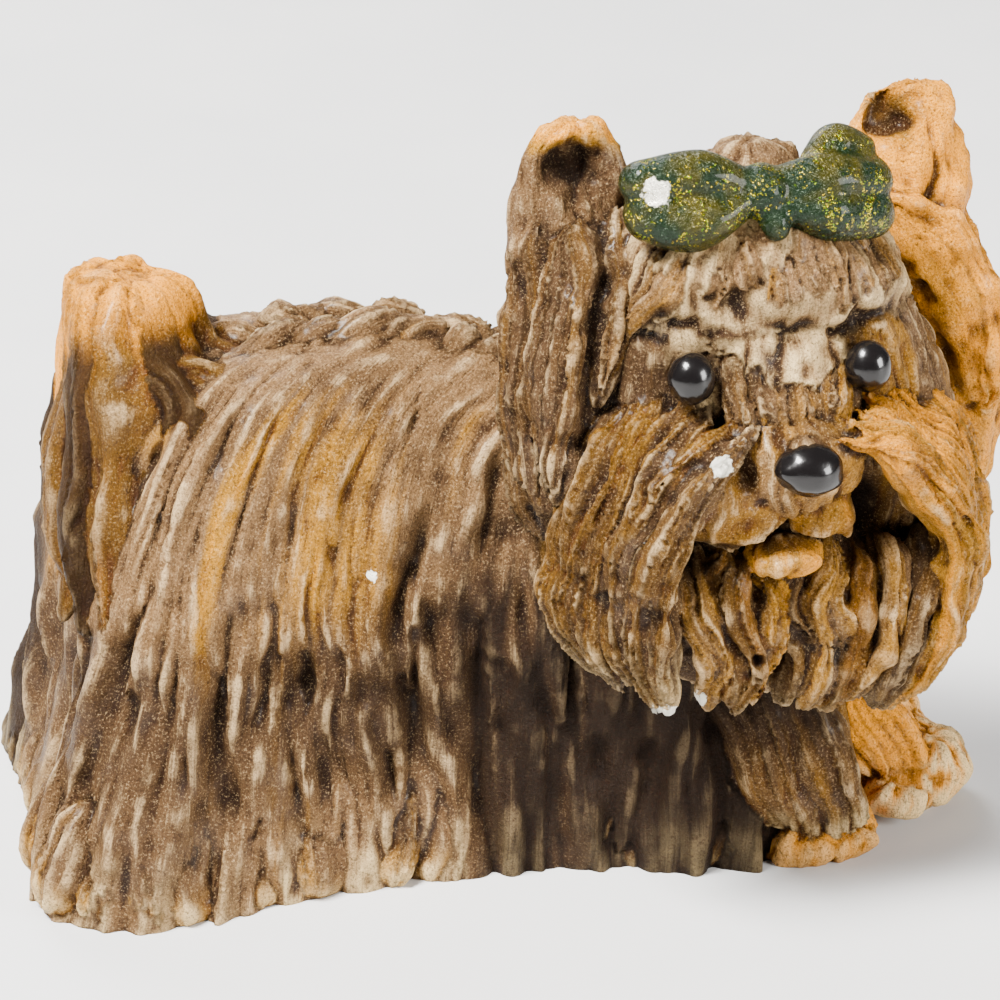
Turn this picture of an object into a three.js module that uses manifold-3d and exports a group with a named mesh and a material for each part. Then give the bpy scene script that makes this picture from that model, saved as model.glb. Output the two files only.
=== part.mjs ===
// A small cast-resin figurine of a long-haired terrier. The dog stands side on and turns its head to look
// out over its right shoulder. The coat, the face, the ears, the bow and the paws come out of one mould,
// so the figure is a single solid. X runs from rump to chest, Y towards the dog's left, Z up, and the
// origin is the middle of the footprint, on the surface that the dog stands on.
import * as THREE from "three";
import { mergeVertices } from "three/addons/utils/BufferGeometryUtils.js";
import Module from "manifold-3d";

const wasm = await Module();
wasm.setup();

// The one size that sets the others, in millimetres, from the ground to the top of the back.
const WITHERS_HEIGHT = 27;
// The sculptor's unit: the back is this many units up, and each proportion below counts in them.
const UNITS_TO_THE_BACK = 54;
const unit = WITHERS_HEIGHT / UNITS_TO_THE_BACK;

const at = (x, y, z) => new THREE.Vector3(x, y, z).multiplyScalar(unit);
const placed = (path) => path.map((point) => at(...point));
const mix = THREE.MathUtils.lerp;
const step = THREE.MathUtils.smoothstep;
// A repeatable number from 0 to 1 for the nth lock, so that no two locks are quite alike.
const whim = (n) => {
  const wave = Math.sin(n * 127.1 + 11.7) * 43758.5453;
  return wave - Math.floor(wave);
};
// The value at a share of the way down a list of evenly spaced ones.
function along(values, share) {
  const place = THREE.MathUtils.clamp(share, 0, 1) * (values.length - 1);
  const below = Math.min(Math.floor(place), values.length - 2);
  return mix(values[below], values[below + 1], place - below);
}

// Every form starts as a sphere, and place(around, down) says where each of its points goes. Around runs
// counterclockwise seen from the top, and down runs from the upper pole to the lower one.
function formed(columns, rows, place) {
  const geometry = new THREE.SphereGeometry(1, columns, rows);
  geometry.deleteAttribute("normal");
  geometry.deleteAttribute("uv");
  const position = geometry.getAttribute("position");
  for (let i = 0; i < position.count; i++) {
    const column = i % (columns + 1);
    const row = Math.floor(i / (columns + 1));
    const point = place((column % columns) / columns, row / rows);
    position.setXYZ(i, point.x, point.y, point.z);
  }
  return geometry;
}

function solid(geometry) {
  const merged = mergeVertices(geometry, unit * 1e-4);
  const mesh = new wasm.Mesh({
    numProp: 3,
    vertProperties: merged.getAttribute("position").array,
    triVerts: new Uint32Array(merged.index.array),
  });
  return new wasm.Manifold(mesh);
}

// A round lump of clay with its own three radii.
function lump(centre, radii, columns = 12, rows = 8) {
  return formed(columns, rows, (around, down) => {
    const turn = 2 * Math.PI * around;
    const fall = Math.PI * down;
    const ring = Math.sin(fall);
    return new THREE.Vector3(ring * Math.cos(turn), ring * Math.sin(turn), Math.cos(fall))
      .multiply(radii)
      .add(centre);
  });
}

// A lock of hair lies along a curve. It is thick away from the heart of the form it lies on, and wide
// across it. Both ends are rounded off.
const LOCK_END = 0.16;
function lock(points, radii, heart, { wide = 1.25, sides = 6, steps = 7 } = {}) {
  const path = new THREE.CatmullRomCurve3(points, false, "centripetal");
  return formed(sides, steps, (around, down) => {
    const point = path.getPoint(down);
    const run = path.getTangent(down);
    const out = point.clone().sub(heart).projectOnPlane(run).normalize();
    const side = out.clone().cross(run);
    const toEnd = Math.min(1, Math.min(down, 1 - down) / LOCK_END);
    const radius = along(radii, down) * unit * Math.sqrt(toEnd * (2 - toEnd));
    const turn = 2 * Math.PI * around;
    return point
      .addScaledVector(out, radius * Math.cos(turn))
      .addScaledVector(side, radius * wide * Math.sin(turn));
  });
}

// The body's long coat hangs from the parting along the back to the hem on the ground. Each strand is a
// rib of the surface. An overcoat lies on it and ends raggedly above the hem.
const COAT_STRANDS = 30;
const COLUMNS_A_STRAND = 4;
const COAT_ROWS = 15;
const PARTING = { rear: -33, front: 22, heights: [50, 53, 53.8, 51.4, 49.6, 48] };
const HEM = [
  [35, -4], [33, 8], [22, 14], [6, 15], [-12, 16], [-30, 19], [-43, 22], [-51.4, 19.5],
  [-49.6, 8], [-47.2, -6], [-47.4, -18], [-39, -23.8], [-25, -20], [-8, -16.4], [8, -15.8], [24, -16.5],
];
const HEM_DEPTH = -2;
const SOLE_POINT = [-6, 0, HEM_DEPTH];
// How the coat spreads on its way down: soon at first, then in a flare, which starts lower at the rump.
const SPREAD = 0.6;
const FALL = 0.85;
const FLARE = { rump: 0.4, side: 0.14 };
const FLARE_START = { rump: 4, side: 2 };
const SWING = 5;
const STRAND_DEPTH = 1.5;
const VALLEY = 0.55;
const OVERCOAT = { depth: 1.6, ends: [0.58, 0.78], rag: 0.08, fade: 0.05 };
const HEM_NOTCH = 3.4;
const hemLine = new THREE.CatmullRomCurve3(HEM.map(([x, y]) => at(x, y, 0)), true, "centripetal");
const hemX = HEM.map(([x]) => x);
const rearmost = Math.min(...hemX);
const foremost = Math.max(...hemX);

function crestPoint(share) {
  return at(mix(PARTING.rear, PARTING.front, share), 0, along(PARTING.heights, share));
}

function coat() {
  return formed(COAT_STRANDS * COLUMNS_A_STRAND, COAT_ROWS, (around, down) => {
    if (down === 0) return crestPoint(0.5);
    if (down === 1) return at(...SOLE_POINT);
    const strand = Math.floor(around * COAT_STRANDS);
    const crown = Math.abs(Math.sin(Math.PI * (around * COAT_STRANDS - strand)));
    const hem = hemLine.getPointAt(around);
    const share = (hem.x / unit - rearmost) / (foremost - rearmost);
    const crest = crestPoint(THREE.MathUtils.clamp(share, 0, 1));
    const side = step(share, 0.02, 0.3);

    const fall = Math.min(1, (down * COAT_ROWS) / (COAT_ROWS - 1));
    const quarter = (fall * Math.PI) / 2;
    const flare = mix(FLARE.rump, FLARE.side, side);
    const flared = flare * Math.pow(fall, mix(FLARE_START.rump, FLARE_START.side, side));
    const out = (1 - flare) * Math.pow(Math.sin(quarter), SPREAD) + flared;
    const drop = 1 - Math.pow(Math.cos(quarter), FALL);
    const point = new THREE.Vector3(
      mix(crest.x, hem.x, out) - SWING * unit * side * Math.sin(Math.PI * fall) * (1 - fall / 3),
      mix(crest.y, hem.y, out),
      mix(crest.z, HEM_DEPTH * unit, drop),
    );

    const ends = mix(...OVERCOAT.ends, whim(strand));
    const ragged = ends - OVERCOAT.fade + OVERCOAT.rag * (1 - crown);
    const over = OVERCOAT.depth * (1 - step(fall, ragged, ends + OVERCOAT.fade));
    const rib = STRAND_DEPTH * (0.5 + 0.8 * whim(strand + 40)) * Math.min(1, fall * 3);
    const outward = new THREE.Vector3(hem.x - crest.x, hem.y - crest.y, 0).normalize();
    point.addScaledVector(outward, (over + rib * (crown - VALLEY)) * unit);
    if (fall === 1) point.z += HEM_NOTCH * unit * (1 - crown) * whim(strand + 80);
    return point;
  });
}

// The head's own frame: X to the right as one looks at the face, minus Y out of the face, Z up.
const HEAD_CENTRE = at(21.2, -15.2, 50);
const HEAD_TURN = THREE.MathUtils.degToRad(11);
const HEAD_LIFT = THREE.MathUtils.degToRad(6);
const HEAD_TILT = THREE.MathUtils.degToRad(3);
const headFrame = new THREE.Matrix4()
  .makeRotationZ(HEAD_TURN)
  .multiply(new THREE.Matrix4().makeRotationX(-HEAD_LIFT))
  .multiply(new THREE.Matrix4().makeRotationY(HEAD_TILT))
  .setPosition(HEAD_CENTRE);

// The skull under the hair, from the crown down: [height, half width, depth in front, depth behind, shift].
const SKULL = [
  [25.5, 0, 0, 0, -1], [24, 6, 5, 5.5, -1], [20.5, 11, 9.5, 10, -0.5], [16, 14, 11.5, 12, 0],
  [11, 16.5, 12.6, 13, 0.3], [6, 18.5, 13, 14, 0.8], [0, 20, 13, 14, 1], [-6, 20.5, 12.5, 13.5, 1.4],
  [-12, 20, 11.6, 12, 1.8], [-17, 18, 11.2, 10, 2], [-22, 14, 10.6, 7, 2], [-26, 8, 9.6, 3, 2],
  [-27.5, 0, 0, 0, 2],
];
const CHIN_POINT = [2, -6, -27.5];
const HEAD_STRANDS = 22;

function skull() {
  const rows = SKULL.length - 1;
  return formed(HEAD_STRANDS * 3, rows, (around, down) => {
    if (down === 1) return at(...CHIN_POINT);
    const [height, half, front, behind, shift] = SKULL[Math.round(down * rows)];
    const turn = 2 * Math.PI * around;
    const strand = Math.floor(around * HEAD_STRANDS);
    const crown = Math.abs(Math.sin(Math.PI * (around * HEAD_STRANDS - strand)));
    const forward = -Math.sin(turn);
    const hair = (crown - 0.5) * (0.8 + whim(strand + 300)) * step(-height, -16, 4) * 0.9;
    const reach = 1 + (half > 0 ? hair / (half + 1) : 0) * (forward > 0.72 ? 0.2 : 1);
    return at(
      half * Math.cos(turn) * reach + shift,
      forward > 0 ? -front * Math.pow(forward, 0.75) * reach : -behind * forward * reach,
      height,
    );
  });
}

// The moustache parts under the nose and falls on both sides of the mouth. Each side is given by its
// inner and outer path, and the locks between lie side by side.
const MOUSTACHE_LOCKS = 6;
const MOUSTACHE_RADII = [1.3, 2, 2.2, 2.1, 1.1];
const MOUSTACHE = [
  {
    inner: [[-2.6, -18.6, 2.6], [-6.6, -18.2, 0.4], [-9.6, -16.6, -7], [-11, -13.6, -17.5], [-9.6, -12, -26]],
    outer: [[-13.5, -9.8, 6], [-17, -8.2, -1], [-18.4, -6.6, -10], [-18.2, -5.8, -17], [-15, -6.2, -24]],
  },
  {
    inner: [[3.2, -18.8, 2.4], [10.5, -17.4, -1], [16, -15.2, -9.5], [16.4, -12.8, -19], [11.5, -11.6, -27]],
    outer: [[12.5, -10.2, 6], [18.4, -8, -1.5], [21.2, -5.2, -9], [22, -4.2, -17.5], [18.2, -6, -25.4]],
  },
];
const between = (a, b, share) => at(...a.map((value, i) => mix(value, b[i], share)));

function moustache(heart) {
  return MOUSTACHE.flatMap(({ inner, outer }, side) =>
    Array.from({ length: MOUSTACHE_LOCKS }, (_, n) => {
      const share = n / (MOUSTACHE_LOCKS - 1);
      const points = inner.map((point, i) => between(point, outer[i], share));
      points[4].z = mix(points[3].z, points[4].z, 0.9 + 0.2 * whim(n + 7 * side));
      const radii = MOUSTACHE_RADII.map((radius) => radius * mix(1.05, 0.8, share));
      return lock(points, radii, heart, { wide: 1.15, sides: 7, steps: 9 });
    }),
  );
}

// The beard hangs from the lower lip in short locks.
const CHIN_LOCKS = 7;
const CHIN = { left: -7.5, right: 14.5, footLeft: -6, footRight: 10.5, lip: -10, foot: -27.6 };
function chin(heart) {
  return Array.from({ length: CHIN_LOCKS }, (_, n) => {
    const share = n / (CHIN_LOCKS - 1);
    const top = mix(CHIN.left, CHIN.right, share);
    const foot = mix(CHIN.footLeft, CHIN.footRight, share);
    const points = [
      at(top, -10.6, CHIN.lip),
      at(top, -12.8, CHIN.lip - 5),
      at((top + foot) / 2, -12.9, CHIN.lip - 10),
      at(foot, -11.6, CHIN.foot + 2.6 * whim(n + 60)),
    ];
    return lock(points, [1.5, 2, 1.9, 1], heart, { wide: 1.2 });
  });
}

// The forehead is a broad mound, and shallow tufts sweep over it from the brow up to the bow. They rise
// out of it at the brow, so that it overhangs the eyes as one edge.
const FOREHEAD = { centre: [-0.8, -6.4, 13.4], radii: [14, 6.6, 7] };
const BROW_TUFTS = 7;
const BROW = { left: -11.6, right: 10.6, height: 10, arch: 1.4, top: 20.4 };
const BROW_ROUND = 0.017;
function brow(heart) {
  const mound = lump(at(...FOREHEAD.centre), at(...FOREHEAD.radii), 16, 10);
  const tufts = Array.from({ length: BROW_TUFTS }, (_, n) => {
    const share = n / (BROW_TUFTS - 1);
    const x = mix(BROW.left, BROW.right, share);
    const lean = 3 * (whim(n + 115) - 0.5);
    const low = BROW.height + BROW.arch * Math.sin(Math.PI * share) + whim(n + 110);
    const back = BROW_ROUND * x * x;
    const points = [
      at(x + lean, back - 10.7, low),
      at(x * 0.86, back - 11.5, (low + BROW.top) / 2),
      at(x * 0.72 - 0.4, 0.7 * back - 8.8, BROW.top),
    ];
    return lock(points, [1.5, 2.2, 1.4], heart, { wide: 1.3, steps: 6 });
  });
  return [mound, ...tufts];
}

// Upright cupped ears: a flat lump with a hollow pressed into its front.
const EARS = [
  {
    flap: { centre: [-17.2, 0.6, 19.5], radii: [6, 3.3, 9.6] },
    cup: { centre: [-17, -3.2, 24], radii: [3.2, 2.8, 3.2] },
  },
  {
    flap: { centre: [17.4, 2.4, 20.4], radii: [6.4, 3.4, 10] },
    cup: { centre: [15.6, -1.6, 26], radii: [3, 2.8, 3.6] },
  },
];
function ears() {
  return EARS.map(({ flap, cup }) => {
    const outside = solid(lump(at(...flap.centre), at(...flap.radii), 16, 10));
    const hollow = solid(lump(at(...cup.centre), at(...cup.radii), 12, 8));
    return outside.subtract(hollow);
  });
}

// Long fringes fall from the ears behind the cheeks.
const EAR_FRINGES = [
  { path: [[-20, 0.6, 23], [-19.6, 0, 13], [-20, -1, 2], [-19.6, -2.4, -9]], radii: [1.5, 2.4, 2.7, 1.4] },
  { path: [[-16.6, -2, 20], [-18, -5, 11], [-19.3, -6, 2], [-19.6, -6.6, -6]], radii: [1.7, 2.6, 2.5, 1.2] },
  { path: [[-13, -1.5, 20], [-14.5, -5.5, 12], [-16.5, -8, 4]], radii: [1.3, 2, 1] },
  { path: [[-16.5, 4, 20], [-17.6, 4.6, 8], [-18, 4.6, -4], [-17, 4, -14]], radii: [2, 3, 3.2, 1.6] },
  { path: [[13.5, 0.2, 20], [19.8, -0.4, 14], [24.3, 0.8, 6], [25.4, 2.2, -2]], radii: [1.8, 2.9, 3, 1.8] },
  { path: [[21, 1.6, 18], [23.8, 3.4, 8], [25, 4, -3], [24.4, 4.2, -14]], radii: [2, 3.2, 3.4, 1.6] },
  { path: [[18, 6, 20], [21, 7.6, 8], [22, 7.6, -4], [20, 6.4, -15]], radii: [2, 3.6, 3.8, 1.8] },
];
function earFringes(heart) {
  return EAR_FRINGES.map(({ path, radii }) => lock(placed(path), radii, heart, { wide: 1.3, sides: 7 }));
}

// The bow: two plump loops of ribbon and a knot, with short ends above and below.
const BOW_KNOT = [-2.4, -10.6, 24];
const KNOT_RADII = [2.6, 2.4, 2.7];
const BOW_ROPES = [
  { path: [BOW_KNOT, [-8, -10, 25.6], [-14.2, -8.6, 24.6]], radii: [1.4, 2.6, 2.2] },
  { path: [BOW_KNOT, [-8.6, -11, 21.4], [-14.2, -8.8, 22.4]], radii: [1.4, 2.8, 2.2] },
  { path: [BOW_KNOT, [4, -10.2, 24.6], [10.4, -8.6, 23.8]], radii: [1.4, 2.6, 2.3] },
  { path: [BOW_KNOT, [4, -11.2, 21.4], [10.4, -9.2, 20.8]], radii: [1.4, 2.6, 2.2] },
  { path: [[2.5, -9, 25], [6, -7.6, 27], [10, -7.4, 25.4]], radii: [1.2, 2, 1.6] },
  { path: [BOW_KNOT, [-1.4, -12, 21.4], [-1, -12.4, 19.4]], radii: [1, 1.5, 1] },
];
function bow(heart) {
  const shape = { wide: 1.1, sides: 8, steps: 8 };
  const ropes = BOW_ROPES.map(({ path, radii }) => lock(placed(path), radii, heart, shape));
  return [...ropes, lump(at(...BOW_KNOT), at(...KNOT_RADII), 10, 8)];
}

// The face is cast with the head: bridge, muzzle, upper lip, nose, lower lip and two bead-like eyes.
const FACE = [
  { centre: [0, -11, 1], radii: [4.6, 4.4, 6.2], columns: 12, rows: 8 },
  { centre: [0.4, -13.4, -1.2], radii: [7.6, 6.6, 5.6], columns: 16, rows: 10 },
  { centre: [0.6, -13, -5.6], radii: [9.4, 4.6, 3.2], columns: 16, rows: 8 },
  { centre: [0.4, -19.2, -0.6], radii: [3.4, 2.4, 2.7], columns: 12, rows: 8 },
  { centre: [0.8, -13.2, -10.4], radii: [4.6, 3.4, 1.9], columns: 12, rows: 6 },
  { centre: [-9.5, -13.2, 7.3], radii: [2.2, 2, 2.5], columns: 10, rows: 8 },
  { centre: [7.9, -13.2, 7.3], radii: [2.2, 2, 2.5], columns: 10, rows: 8 },
];
function face() {
  return FACE.map(({ centre, radii, columns, rows }) => lump(at(...centre), at(...radii), columns, rows));
}

const TOPKNOT = { centre: [-1, -3, 23.6], radii: [5, 4.6, 3.6] };

// The docked tail stands up from the rump, and locks fall from it over the hindquarters.
const TAIL = [[-35, 0, 34], [-36.4, 0, 46], [-37.2, 0, 54], [-37, 0, 60.6]];
const TAIL_RADII = [8.6, 7.6, 6.2, 4.4];
const TAIL_LOCKS = 11;
const TAIL_LOCK_REACH = { ahead: 12, behind: 4.6, aside: 14.6 };
const TAIL_LOCK_FOOT = { x: -39, ahead: 43, behind: 22, whim: 10 };
const LOCK_START = { x: -37, ahead: 3, aside: 2.6, height: 60 };
const LOCK_BEND = { x: -37, aside: 6.4, height: 52 };
const LOCK_FALL = { x: -37.4, aside: 11 };
const BEHIND_THE_TAIL = [-60, 0, 40];
function tail(heart) {
  const core = lock(placed(TAIL), TAIL_RADII, at(...BEHIND_THE_TAIL), { wide: 0.95, sides: 12, steps: 9 });
  const locks = Array.from({ length: TAIL_LOCKS }, (_, n) => {
    const turn = (2 * Math.PI * (n + 0.3 * whim(n + 20))) / TAIL_LOCKS;
    const ahead = Math.cos(turn);
    const aside = Math.sin(turn);
    const reach = ahead * (ahead > 0 ? TAIL_LOCK_REACH.ahead : TAIL_LOCK_REACH.behind);
    const behindFoot = TAIL_LOCK_FOOT.behind + TAIL_LOCK_FOOT.whim * whim(n + 30);
    const low = ahead > 0.2 ? TAIL_LOCK_FOOT.ahead : behindFoot;
    const points = [
      at(LOCK_START.x + LOCK_START.ahead * ahead, LOCK_START.aside * aside, LOCK_START.height),
      at(LOCK_BEND.x + 0.5 * reach, LOCK_BEND.aside * aside, LOCK_BEND.height),
      at(LOCK_FALL.x + reach, LOCK_FALL.aside * aside, mix(LOCK_BEND.height, low, 0.45)),
      at(TAIL_LOCK_FOOT.x + reach, TAIL_LOCK_REACH.aside * aside, low),
    ];
    return lock(points, [1.5, 2.4, 2.6, 1.2], heart, { wide: 1.4 });
  });
  return [core, ...locks];
}

// Loose tufts lie along the parting.
const BACK_TUFTS = 8;
const TUFTED = { rear: -27, front: 14 };
function backTufts(heart) {
  return Array.from({ length: BACK_TUFTS }, (_, n) => {
    const x = mix(TUFTED.rear, TUFTED.front, n / (BACK_TUFTS - 1));
    const height = along(PARTING.heights, (x - PARTING.rear) / (PARTING.front - PARTING.rear));
    const side = n % 2 ? 2.2 : -2.2;
    const points = [
      at(x + 4, side * 0.3, height - 1),
      at(x, side, height - 0.6),
      at(x - 5, side * 2.4, height - 3),
    ];
    return lock(points, [1.2, 1.8, 1.1], heart, { wide: 1.6, steps: 6 });
  });
}

// Forelegs lean forward under the beard. Hair falls over them to the paws.
const FORELEGS = [
  { path: [[24, -6, 26], [28, -9, 12], [30.6, -11, 2]], radii: [8, 6.4, 5] },
  { path: [[28, 4, 24], [34, 0, 13], [39, -3, 5]], radii: [8, 7, 5.4] },
];
const PAWS = [
  { centre: [31.4, -12.6, 2.4], radii: [5.4, 4.4, 4.2] },
  { centre: [40.6, -3.6, 4], radii: [6.2, 5.8, 5.2] },
];
const LEG_LOCKS = 4;
const LEG_LOCK_SPREAD = [-5, 4.5];
function foreleg({ path, radii }, leg) {
  const [shoulder, elbow, wrist] = path;
  const behind = at(elbow[0] - 14, elbow[1] + 12, elbow[2]);
  const core = lock(placed(path), radii, behind, { wide: 1, sides: 10, steps: 7 });
  const hair = Array.from({ length: LEG_LOCKS }, (_, n) => {
    const shift = mix(...LEG_LOCK_SPREAD, n / (LEG_LOCKS - 1));
    const points = [
      at(shoulder[0] + shift, shoulder[1] - 8, 20),
      at(elbow[0] + shift, elbow[1] - 7, 11),
      at(wrist[0] + shift, wrist[1] - 4.6, 1.5 + 3 * whim(n + 5 * leg)),
    ];
    return lock(points, [1.6, 2.2, 1.2], behind, { wide: 1.4, steps: 6 });
  });
  return [core, ...hair];
}
function forelegs() {
  const paws = PAWS.map(({ centre, radii }) => lump(at(...centre), at(...radii), 14, 9));
  return [...FORELEGS.flatMap(foreleg), ...paws];
}

// The parts of the head, carved in its own frame, are turned and set on the body.
const HEAD_HEART = [1, 2, 0];
function head() {
  const heart = at(...HEAD_HEART);
  const forms = [
    skull(), ...face(), ...moustache(heart), ...chin(heart), ...brow(heart), ...earFringes(heart),
    ...bow(heart), lump(at(...TOPKNOT.centre), at(...TOPKNOT.radii), 12, 8),
  ].map(solid);
  return [...forms, ...ears()]
    .reduce((whole, form) => whole.add(form))
    .transform(headFrame.elements);
}

const BODY_HEART = [-8, 0, 24];
const TABLE = { width: 200, depth: 20 };
function figure() {
  const heart = at(...BODY_HEART);
  const body = [coat(), ...tail(heart), ...backTufts(heart), ...forelegs()]
    .map(solid)
    .reduce((whole, form) => whole.add(form));
  const table = new THREE.BoxGeometry(TABLE.width * unit, TABLE.width * unit, TABLE.depth * unit);
  table.translate(0, 0, (-TABLE.depth * unit) / 2);
  table.deleteAttribute("normal");
  table.deleteAttribute("uv");
  // Air trapped between the locks counts as shells of its own. Only the outer one is kept.
  const shells = body.add(head()).subtract(solid(table)).decompose();
  return shells.reduce((largest, shell) => (shell.volume() > largest.volume() ? shell : largest));
}

// Merges neighbouring points where that moves the surface least, until no more than `most` faces are left.
// Each point carries the sum of its faces' squared-distance forms, as ten numbers.
function thinned(mesh, most) {
  const corner = (i) => new THREE.Vector3().fromArray(mesh.vertProperties, 3 * i);
  const points = Array.from({ length: mesh.numVert }, (_, i) => corner(i));
  const faces = Array.from({ length: mesh.numTri }, (_, f) => [...mesh.triVerts.subarray(3 * f, 3 * f + 3)]);
  const fans = points.map(() => new Set());
  const forms = points.map(() => new Float64Array(10));
  const version = new Uint32Array(points.length);
  const cross = (p, q, r) => q.clone().sub(p).cross(r.clone().sub(p));
  faces.forEach((face, f) => {
    const [p, q, r] = face.map((i) => points[i]);
    const normal = cross(p, q, r);
    const area = normal.length();
    normal.normalize();
    const plane = [normal.x, normal.y, normal.z, -normal.dot(p)];
    for (const i of face) {
      fans[i].add(f);
      let k = 0;
      for (let a = 0; a < 4; a++) {
        for (let b = a; b < 4; b++) forms[i][k++] += area * plane[a] * plane[b];
      }
    }
  });
  const error = (m, v) =>
    m[0] * v.x * v.x + 2 * m[1] * v.x * v.y + 2 * m[2] * v.x * v.z + 2 * m[3] * v.x + m[4] * v.y * v.y +
    2 * m[5] * v.y * v.z + 2 * m[6] * v.y + m[7] * v.z * v.z + 2 * m[8] * v.z + m[9];
  const ring = (i) => new Set([...fans[i]].flatMap((f) => faces[f]).filter((j) => j !== i));

  const queue = [];
  const lift = (i) => {
    while (i > 0 && queue[i].cost < queue[(i - 1) >> 1].cost) {
      const up = (i - 1) >> 1;
      [queue[i], queue[up]] = [queue[up], queue[i]];
      i = up;
    }
  };
  const sink = (i) => {
    for (;;) {
      let low = i;
      for (const j of [2 * i + 1, 2 * i + 2]) {
        if (j < queue.length && queue[j].cost < queue[low].cost) low = j;
      }
      if (low === i) return;
      [queue[i], queue[low]] = [queue[low], queue[i]];
      i = low;
    }
  };
  const offer = (a, b) => {
    const form = forms[a].map((value, k) => value + forms[b][k]);
    const middle = points[a].clone().lerp(points[b], 0.5);
    const places = [points[a], points[b], middle];
    const errors = places.map((v) => error(form, v));
    const best = errors.indexOf(Math.min(...errors));
    const cost = errors[best] + 2e-5 * points[a].distanceToSquared(points[b]);
    queue.push({ cost, a, b, place: places[best].clone(), seen: [version[a], version[b]] });
    lift(queue.length - 1);
  };
  points.forEach((_, a) => ring(a).forEach((b) => a < b && offer(a, b)));

  let left = faces.length;
  while (left > most && queue.length) {
    const { a, b, place, seen } = queue[0];
    const last = queue.pop();
    if (queue.length) {
      queue[0] = last;
      sink(0);
    }
    if (version[a] !== seen[0] || version[b] !== seen[1]) continue;
    const ringB = ring(b);
    const shared = [...ring(a)].filter((j) => ringB.has(j));
    if (shared.length !== 2) continue;
    const flips = [a, b].some((i) =>
      [...fans[i]].some((f) => {
        if (faces[f].includes(a) && faces[f].includes(b)) return false;
        const before = cross(...faces[f].map((j) => points[j]));
        const after = cross(...faces[f].map((j) => (j === i ? place : points[j])));
        return before.dot(after) < 0.3 * before.length() * after.length() || after.length() < 1e-4;
      }),
    );
    if (flips) continue;
    for (const f of [...fans[b]]) {
      if (faces[f].includes(a)) {
        faces[f].forEach((j) => fans[j].delete(f));
        faces[f] = null;
        left--;
      } else {
        faces[f] = faces[f].map((j) => (j === b ? a : j));
        fans[a].add(f);
      }
    }
    fans[b].clear();
    points[a].copy(place);
    forms[a] = forms[a].map((value, k) => value + forms[b][k]);
    version[a]++;
    version[b]++;
    ring(a).forEach((j) => offer(a, j));
  }
  return new THREE.BufferGeometry()
    .setAttribute("position", new THREE.Float32BufferAttribute(points.flatMap((v) => v.toArray()), 3))
    .setIndex(faces.filter(Boolean).flat());
}

// The finished solid as a mesh, moved so that the middle of its footprint is the origin.
const MOST_FACES = 9800;
const geometry = thinned(figure().getMesh(), MOST_FACES);
geometry.computeBoundingBox();
geometry.computeVertexNormals();
const box = geometry.boundingBox;

const paintedResin = new THREE.MeshStandardMaterial({ color: 0x7d5c3e, roughness: 0.62, metalness: 0 });
const dog = new THREE.Mesh(geometry, paintedResin);
dog.name = "dog_figurine";
dog.position.set(-(box.min.x + box.max.x) / 2, -(box.min.y + box.max.y) / 2, -box.min.z);

const part = new THREE.Group();
part.add(dog);
export default part;
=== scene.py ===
import bmesh
import bpy
import math
import numpy as np
from mathutils import Matrix, Vector


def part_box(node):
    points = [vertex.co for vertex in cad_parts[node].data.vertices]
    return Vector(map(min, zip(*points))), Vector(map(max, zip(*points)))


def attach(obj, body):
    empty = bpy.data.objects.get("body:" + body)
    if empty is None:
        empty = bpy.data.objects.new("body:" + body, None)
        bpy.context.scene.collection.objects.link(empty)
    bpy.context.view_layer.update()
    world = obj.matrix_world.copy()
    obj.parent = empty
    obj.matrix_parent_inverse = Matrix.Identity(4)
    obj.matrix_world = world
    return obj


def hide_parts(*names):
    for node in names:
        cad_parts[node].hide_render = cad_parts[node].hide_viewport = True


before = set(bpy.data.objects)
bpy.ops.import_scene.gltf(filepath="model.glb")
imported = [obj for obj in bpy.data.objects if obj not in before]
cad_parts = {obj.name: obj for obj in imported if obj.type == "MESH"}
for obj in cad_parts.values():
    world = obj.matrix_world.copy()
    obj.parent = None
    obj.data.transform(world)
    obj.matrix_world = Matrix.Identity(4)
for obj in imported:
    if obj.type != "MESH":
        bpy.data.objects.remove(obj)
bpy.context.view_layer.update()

# The body: a long coat that hangs from the parting to the ground, a docked tail, tufts along the back and two
# forelegs. It is cast in resin in one with the head, from a clay model, and painted by hand. Its forms are in
# the sculptor's units, with X from rump to chest, minus Y towards the viewer and Z up.
UNITS_TALL = 79.73
node_low, node_high = (np.array(corner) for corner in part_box("dog_figurine"))
unit = (node_high[2] - node_low[2]) / UNITS_TALL


def whim(n, offset=0.0):
    """A repeatable number from 0 to 1 for the nth lock."""
    wave = np.sin((np.asarray(n) + offset) * 127.1 + 11.7) * 43758.5453
    return wave - np.floor(wave)


def ease(value, start, end):
    t = np.clip((value - start) / (end - start), 0, 1)
    return t * t * (3 - 2 * t)


def mix(a, b, share):
    return a + (b - a) * share


def along(values, share):
    return np.interp(share, np.linspace(0, 1, len(values)), values)


def grain(x, y, seed, around=0):
    """Smooth noise from -1 to 1 on a lattice, which closes on itself after `around` cells of x."""
    i, j = np.floor(x), np.floor(y)
    u, v = x - i, y - j
    u, v = u * u * (3 - 2 * u), v * v * (3 - 2 * v)

    def corner(right, up):
        k = np.mod(i + right, around) if around else i + right
        wave = np.sin(k * 127.1 + (j + up) * 311.7 + seed * 74.7) * 43758.5453
        return wave - np.floor(wave)

    lower = mix(corner(0, 0), corner(1, 0), u)
    upper = mix(corner(0, 1), corner(1, 1), u)
    return 2 * mix(lower, upper, v) - 1


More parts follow.
